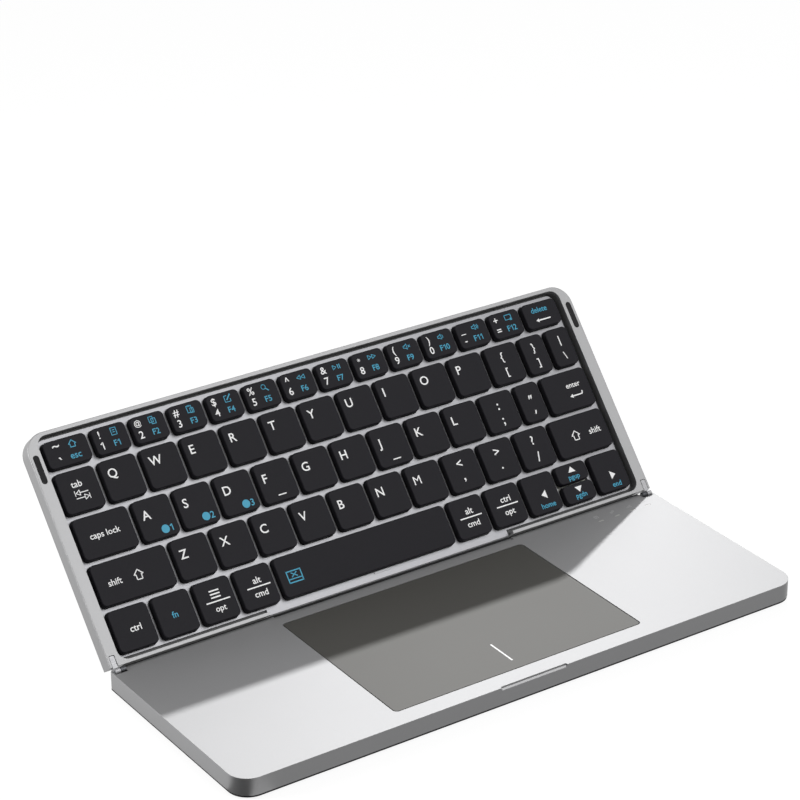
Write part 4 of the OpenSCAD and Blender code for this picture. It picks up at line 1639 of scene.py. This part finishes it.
@dataclass
class Studio:
    """Floor, sky, lamps, cards and camera of the product picture. Its sizes are metres."""

    floor_size: float = 6.0
    floor_glow: float = 0.85
    sky: float = 0.4
    key_power: float = 0.95
    key_spread: float = 1.2
    key_direction: Point = (-0.500, -0.702, -0.505)
    azimuth: float = -34.166
    elevation: float = 25.716
    roll: float = -0.233
    focal_mm: float = 133.80
    sensor_mm: float = 36.0
    camera_place: Point = (-0.559798, -0.738605, 0.556755)

    def white_for_the_eye(self, tree: Tree) -> Socket:
        """Give 1 for camera, glossy and transmission rays, so that metal shows the white background too.

        Args:
            tree: The node tree.

        Returns:
            The factor's socket.
        """
        rays = add_node(tree, "ShaderNodeLightPath").outputs
        factor = rays["Is Camera Ray"]
        for kind in ("Is Glossy Ray", "Is Transmission Ray"):
            either = add_node(tree, "ShaderNodeMath", {0: factor, 1: rays[kind]}, operation="MAXIMUM")
            factor = either.outputs[0]
        return factor

    def two_faced(self, tree: Tree, light: bpy.types.Node, shown: bpy.types.Node) -> Socket:
        """Mix what lights the object with what the eye is shown.

        Args:
            tree: The node tree.
            light: The shader that diffuse rays meet.
            shown: The shader that the eye sees, directly or in the metal.

        Returns:
            The mix's socket.
        """
        inputs = {0: self.white_for_the_eye(tree), 1: light.outputs[0], 2: shown.outputs[0]}
        return add_node(tree, "ShaderNodeMixShader", inputs).outputs[0]

    def world(self) -> None:
        """Light the scene with a plain pale sky that shows white to the camera."""
        world = bpy.data.worlds.new("Plain_sky")
        bpy.context.scene.world = world
        tree = emptied(world)
        light = add_node(tree, "ShaderNodeBackground", {"Color": WHITE, "Strength": self.sky})
        white = add_node(tree, "ShaderNodeBackground", {"Color": WHITE, "Strength": 1.0})
        add_node(tree, "ShaderNodeOutputWorld", {"Surface": self.two_faced(tree, light, white)})

    def floor(self) -> None:
        """Lay the pale floor, which shows white and keeps a soft shadow of the object."""
        pick()
        bpy.ops.mesh.primitive_plane_add(size=self.floor_size, location=(0.0, 0.0, 0.0))
        piece = bpy.context.active_object
        piece.name = "Floor"
        material = bpy.data.materials.new("Paper_sweep_white")
        tree = emptied(material)
        paper = add_node(tree, "ShaderNodeBsdfDiffuse", {"Color": linear("#6c6c6c")})
        glow = add_node(tree, "ShaderNodeEmission", {"Color": WHITE, "Strength": self.floor_glow})
        dim = add_node(tree, "ShaderNodeBsdfDiffuse", {"Color": linear("#7c7c7c")})
        shown = add_node(tree, "ShaderNodeAddShader", {0: glow.outputs[0], 1: dim.outputs[0]})
        add_node(tree, "ShaderNodeOutputMaterial", {"Surface": self.two_faced(tree, paper, shown)})
        piece.data.materials.append(material)

    def card(self, name: str, low: Plan, high: Plan, glow: float) -> None:
        """Lay a card on the floor that only mirror rays see, as a photographer lays one beside metal.

        Args:
            name: The card's name.
            low: Its near left corner.
            high: Its far right corner.
            glow: Its brightness, where the white surroundings are 1.
        """
        piece = block(name, (*low, 0.0001), (*high, 0.0003))
        material = bpy.data.materials.new(name)
        tree = emptied(material)
        paper = add_node(tree, "ShaderNodeEmission", {"Color": WHITE, "Strength": glow})
        add_node(tree, "ShaderNodeOutputMaterial", {"Surface": paper.outputs[0]})
        piece.data.materials.append(material)
        piece.visible_camera = piece.visible_diffuse = False
        piece.visible_shadow = piece.visible_transmission = False

    def hang(self, name: str, lamp: bpy.types.Light, place: Point, aim: Vector) -> None:
        """Hang a lamp so that it shines in one direction.

        Args:
            name: The lamp's name.
            lamp: The lamp.
            place: Where it hangs.
            aim: The direction that it shines in.
        """
        piece = bpy.data.objects.new(name, lamp)
        piece.location = place
        piece.rotation_mode = "QUATERNION"
        piece.rotation_quaternion = aim.to_track_quat("-Z", "Y")
        bpy.context.scene.collection.objects.link(piece)

    def softbox(self, name: str, place: Point, target: Point, size: float, power: float) -> None:
        """Hang a square soft lamp.

        Args:
            name: The lamp's name.
            place: Where it hangs.
            target: What it is aimed at.
            size: Its side.
            power: Its power in watts.
        """
        soft = bpy.data.lights.new(name, "AREA")
        soft.shape = "SQUARE"
        soft.size = size
        soft.energy = power
        self.hang(name, soft, place, Vector(target) - Vector(place))

    def lamps(self) -> None:
        """Hang the key lamp behind on the right, and soft ones in front on the right and on the left."""
        sun = bpy.data.lights.new("Key_lamp", "SUN")
        sun.energy = self.key_power
        sun.angle = math.radians(self.key_spread)
        self.hang("Key_lamp", sun, (0.0, 0.0, 0.0), Vector(self.key_direction))
        self.softbox("Front_softbox", (0.32, -0.62, 0.80), (0.0, 0.04, 0.04), 0.6, 4.65)
        self.softbox("Left_softbox", (-0.60, 0.25, 0.25), (-0.10, 0.0, 0.03), 0.3, 3.0)

    def camera(self) -> None:
        """Place the camera where the picture was taken from, solved from the object's straight edges."""
        az, el, roll = (math.radians(angle) for angle in (self.azimuth, self.elevation, self.roll))
        back = Vector((math.sin(az) * math.cos(el), -math.cos(az) * math.cos(el), math.sin(el)))
        right = Vector((math.cos(az), math.sin(az), 0.0))
        up = back.cross(right)
        turned_right = math.cos(roll) * right + math.sin(roll) * up
        turned_up = math.cos(roll) * up - math.sin(roll) * right
        lens = bpy.data.cameras.new("Camera")
        lens.sensor_width = self.sensor_mm
        lens.lens = self.focal_mm
        lens.clip_start = 0.05
        view = bpy.data.objects.new("Camera", lens)
        bpy.context.scene.collection.objects.link(view)
        turn = Matrix((turned_right, turned_up, back)).transposed().to_4x4()
        x, y, z = self.camera_place
        view.matrix_world = Matrix.Translation((x, y - HALF_DEPTH * MM, z + PALM_TOP * MM)) @ turn
        bpy.context.scene.camera = view

    def build(self) -> None:
        """Set up the studio, with a grey card before the front face and a black one at the left corner."""
        self.world()
        self.floor()
        self.card("Front_card", (-0.110, -0.700), (0.700, -0.077), 0.65)
        self.card("Corner_card", (-0.250, -0.250), (-0.1212, -0.067), 0.0)
        self.lamps()
        self.camera()
        bpy.context.scene.view_settings.view_transform = "Standard"


def main() -> None:
    """Build the keyboard from its sub-assemblies, then the studio round it."""
    logging.basicConfig(level=logging.INFO, format="%(name)s: %(message)s")
    wardrobe = Wardrobe()
    grid = KeyGrid()
    PalmRest(wardrobe).build()
    KeyboardHalf(wardrobe, grid=grid).build()
    Keys(wardrobe, grid).build()
    Inside().build(wardrobe)
    Studio().build()


if __name__ == "__main__":
    main()
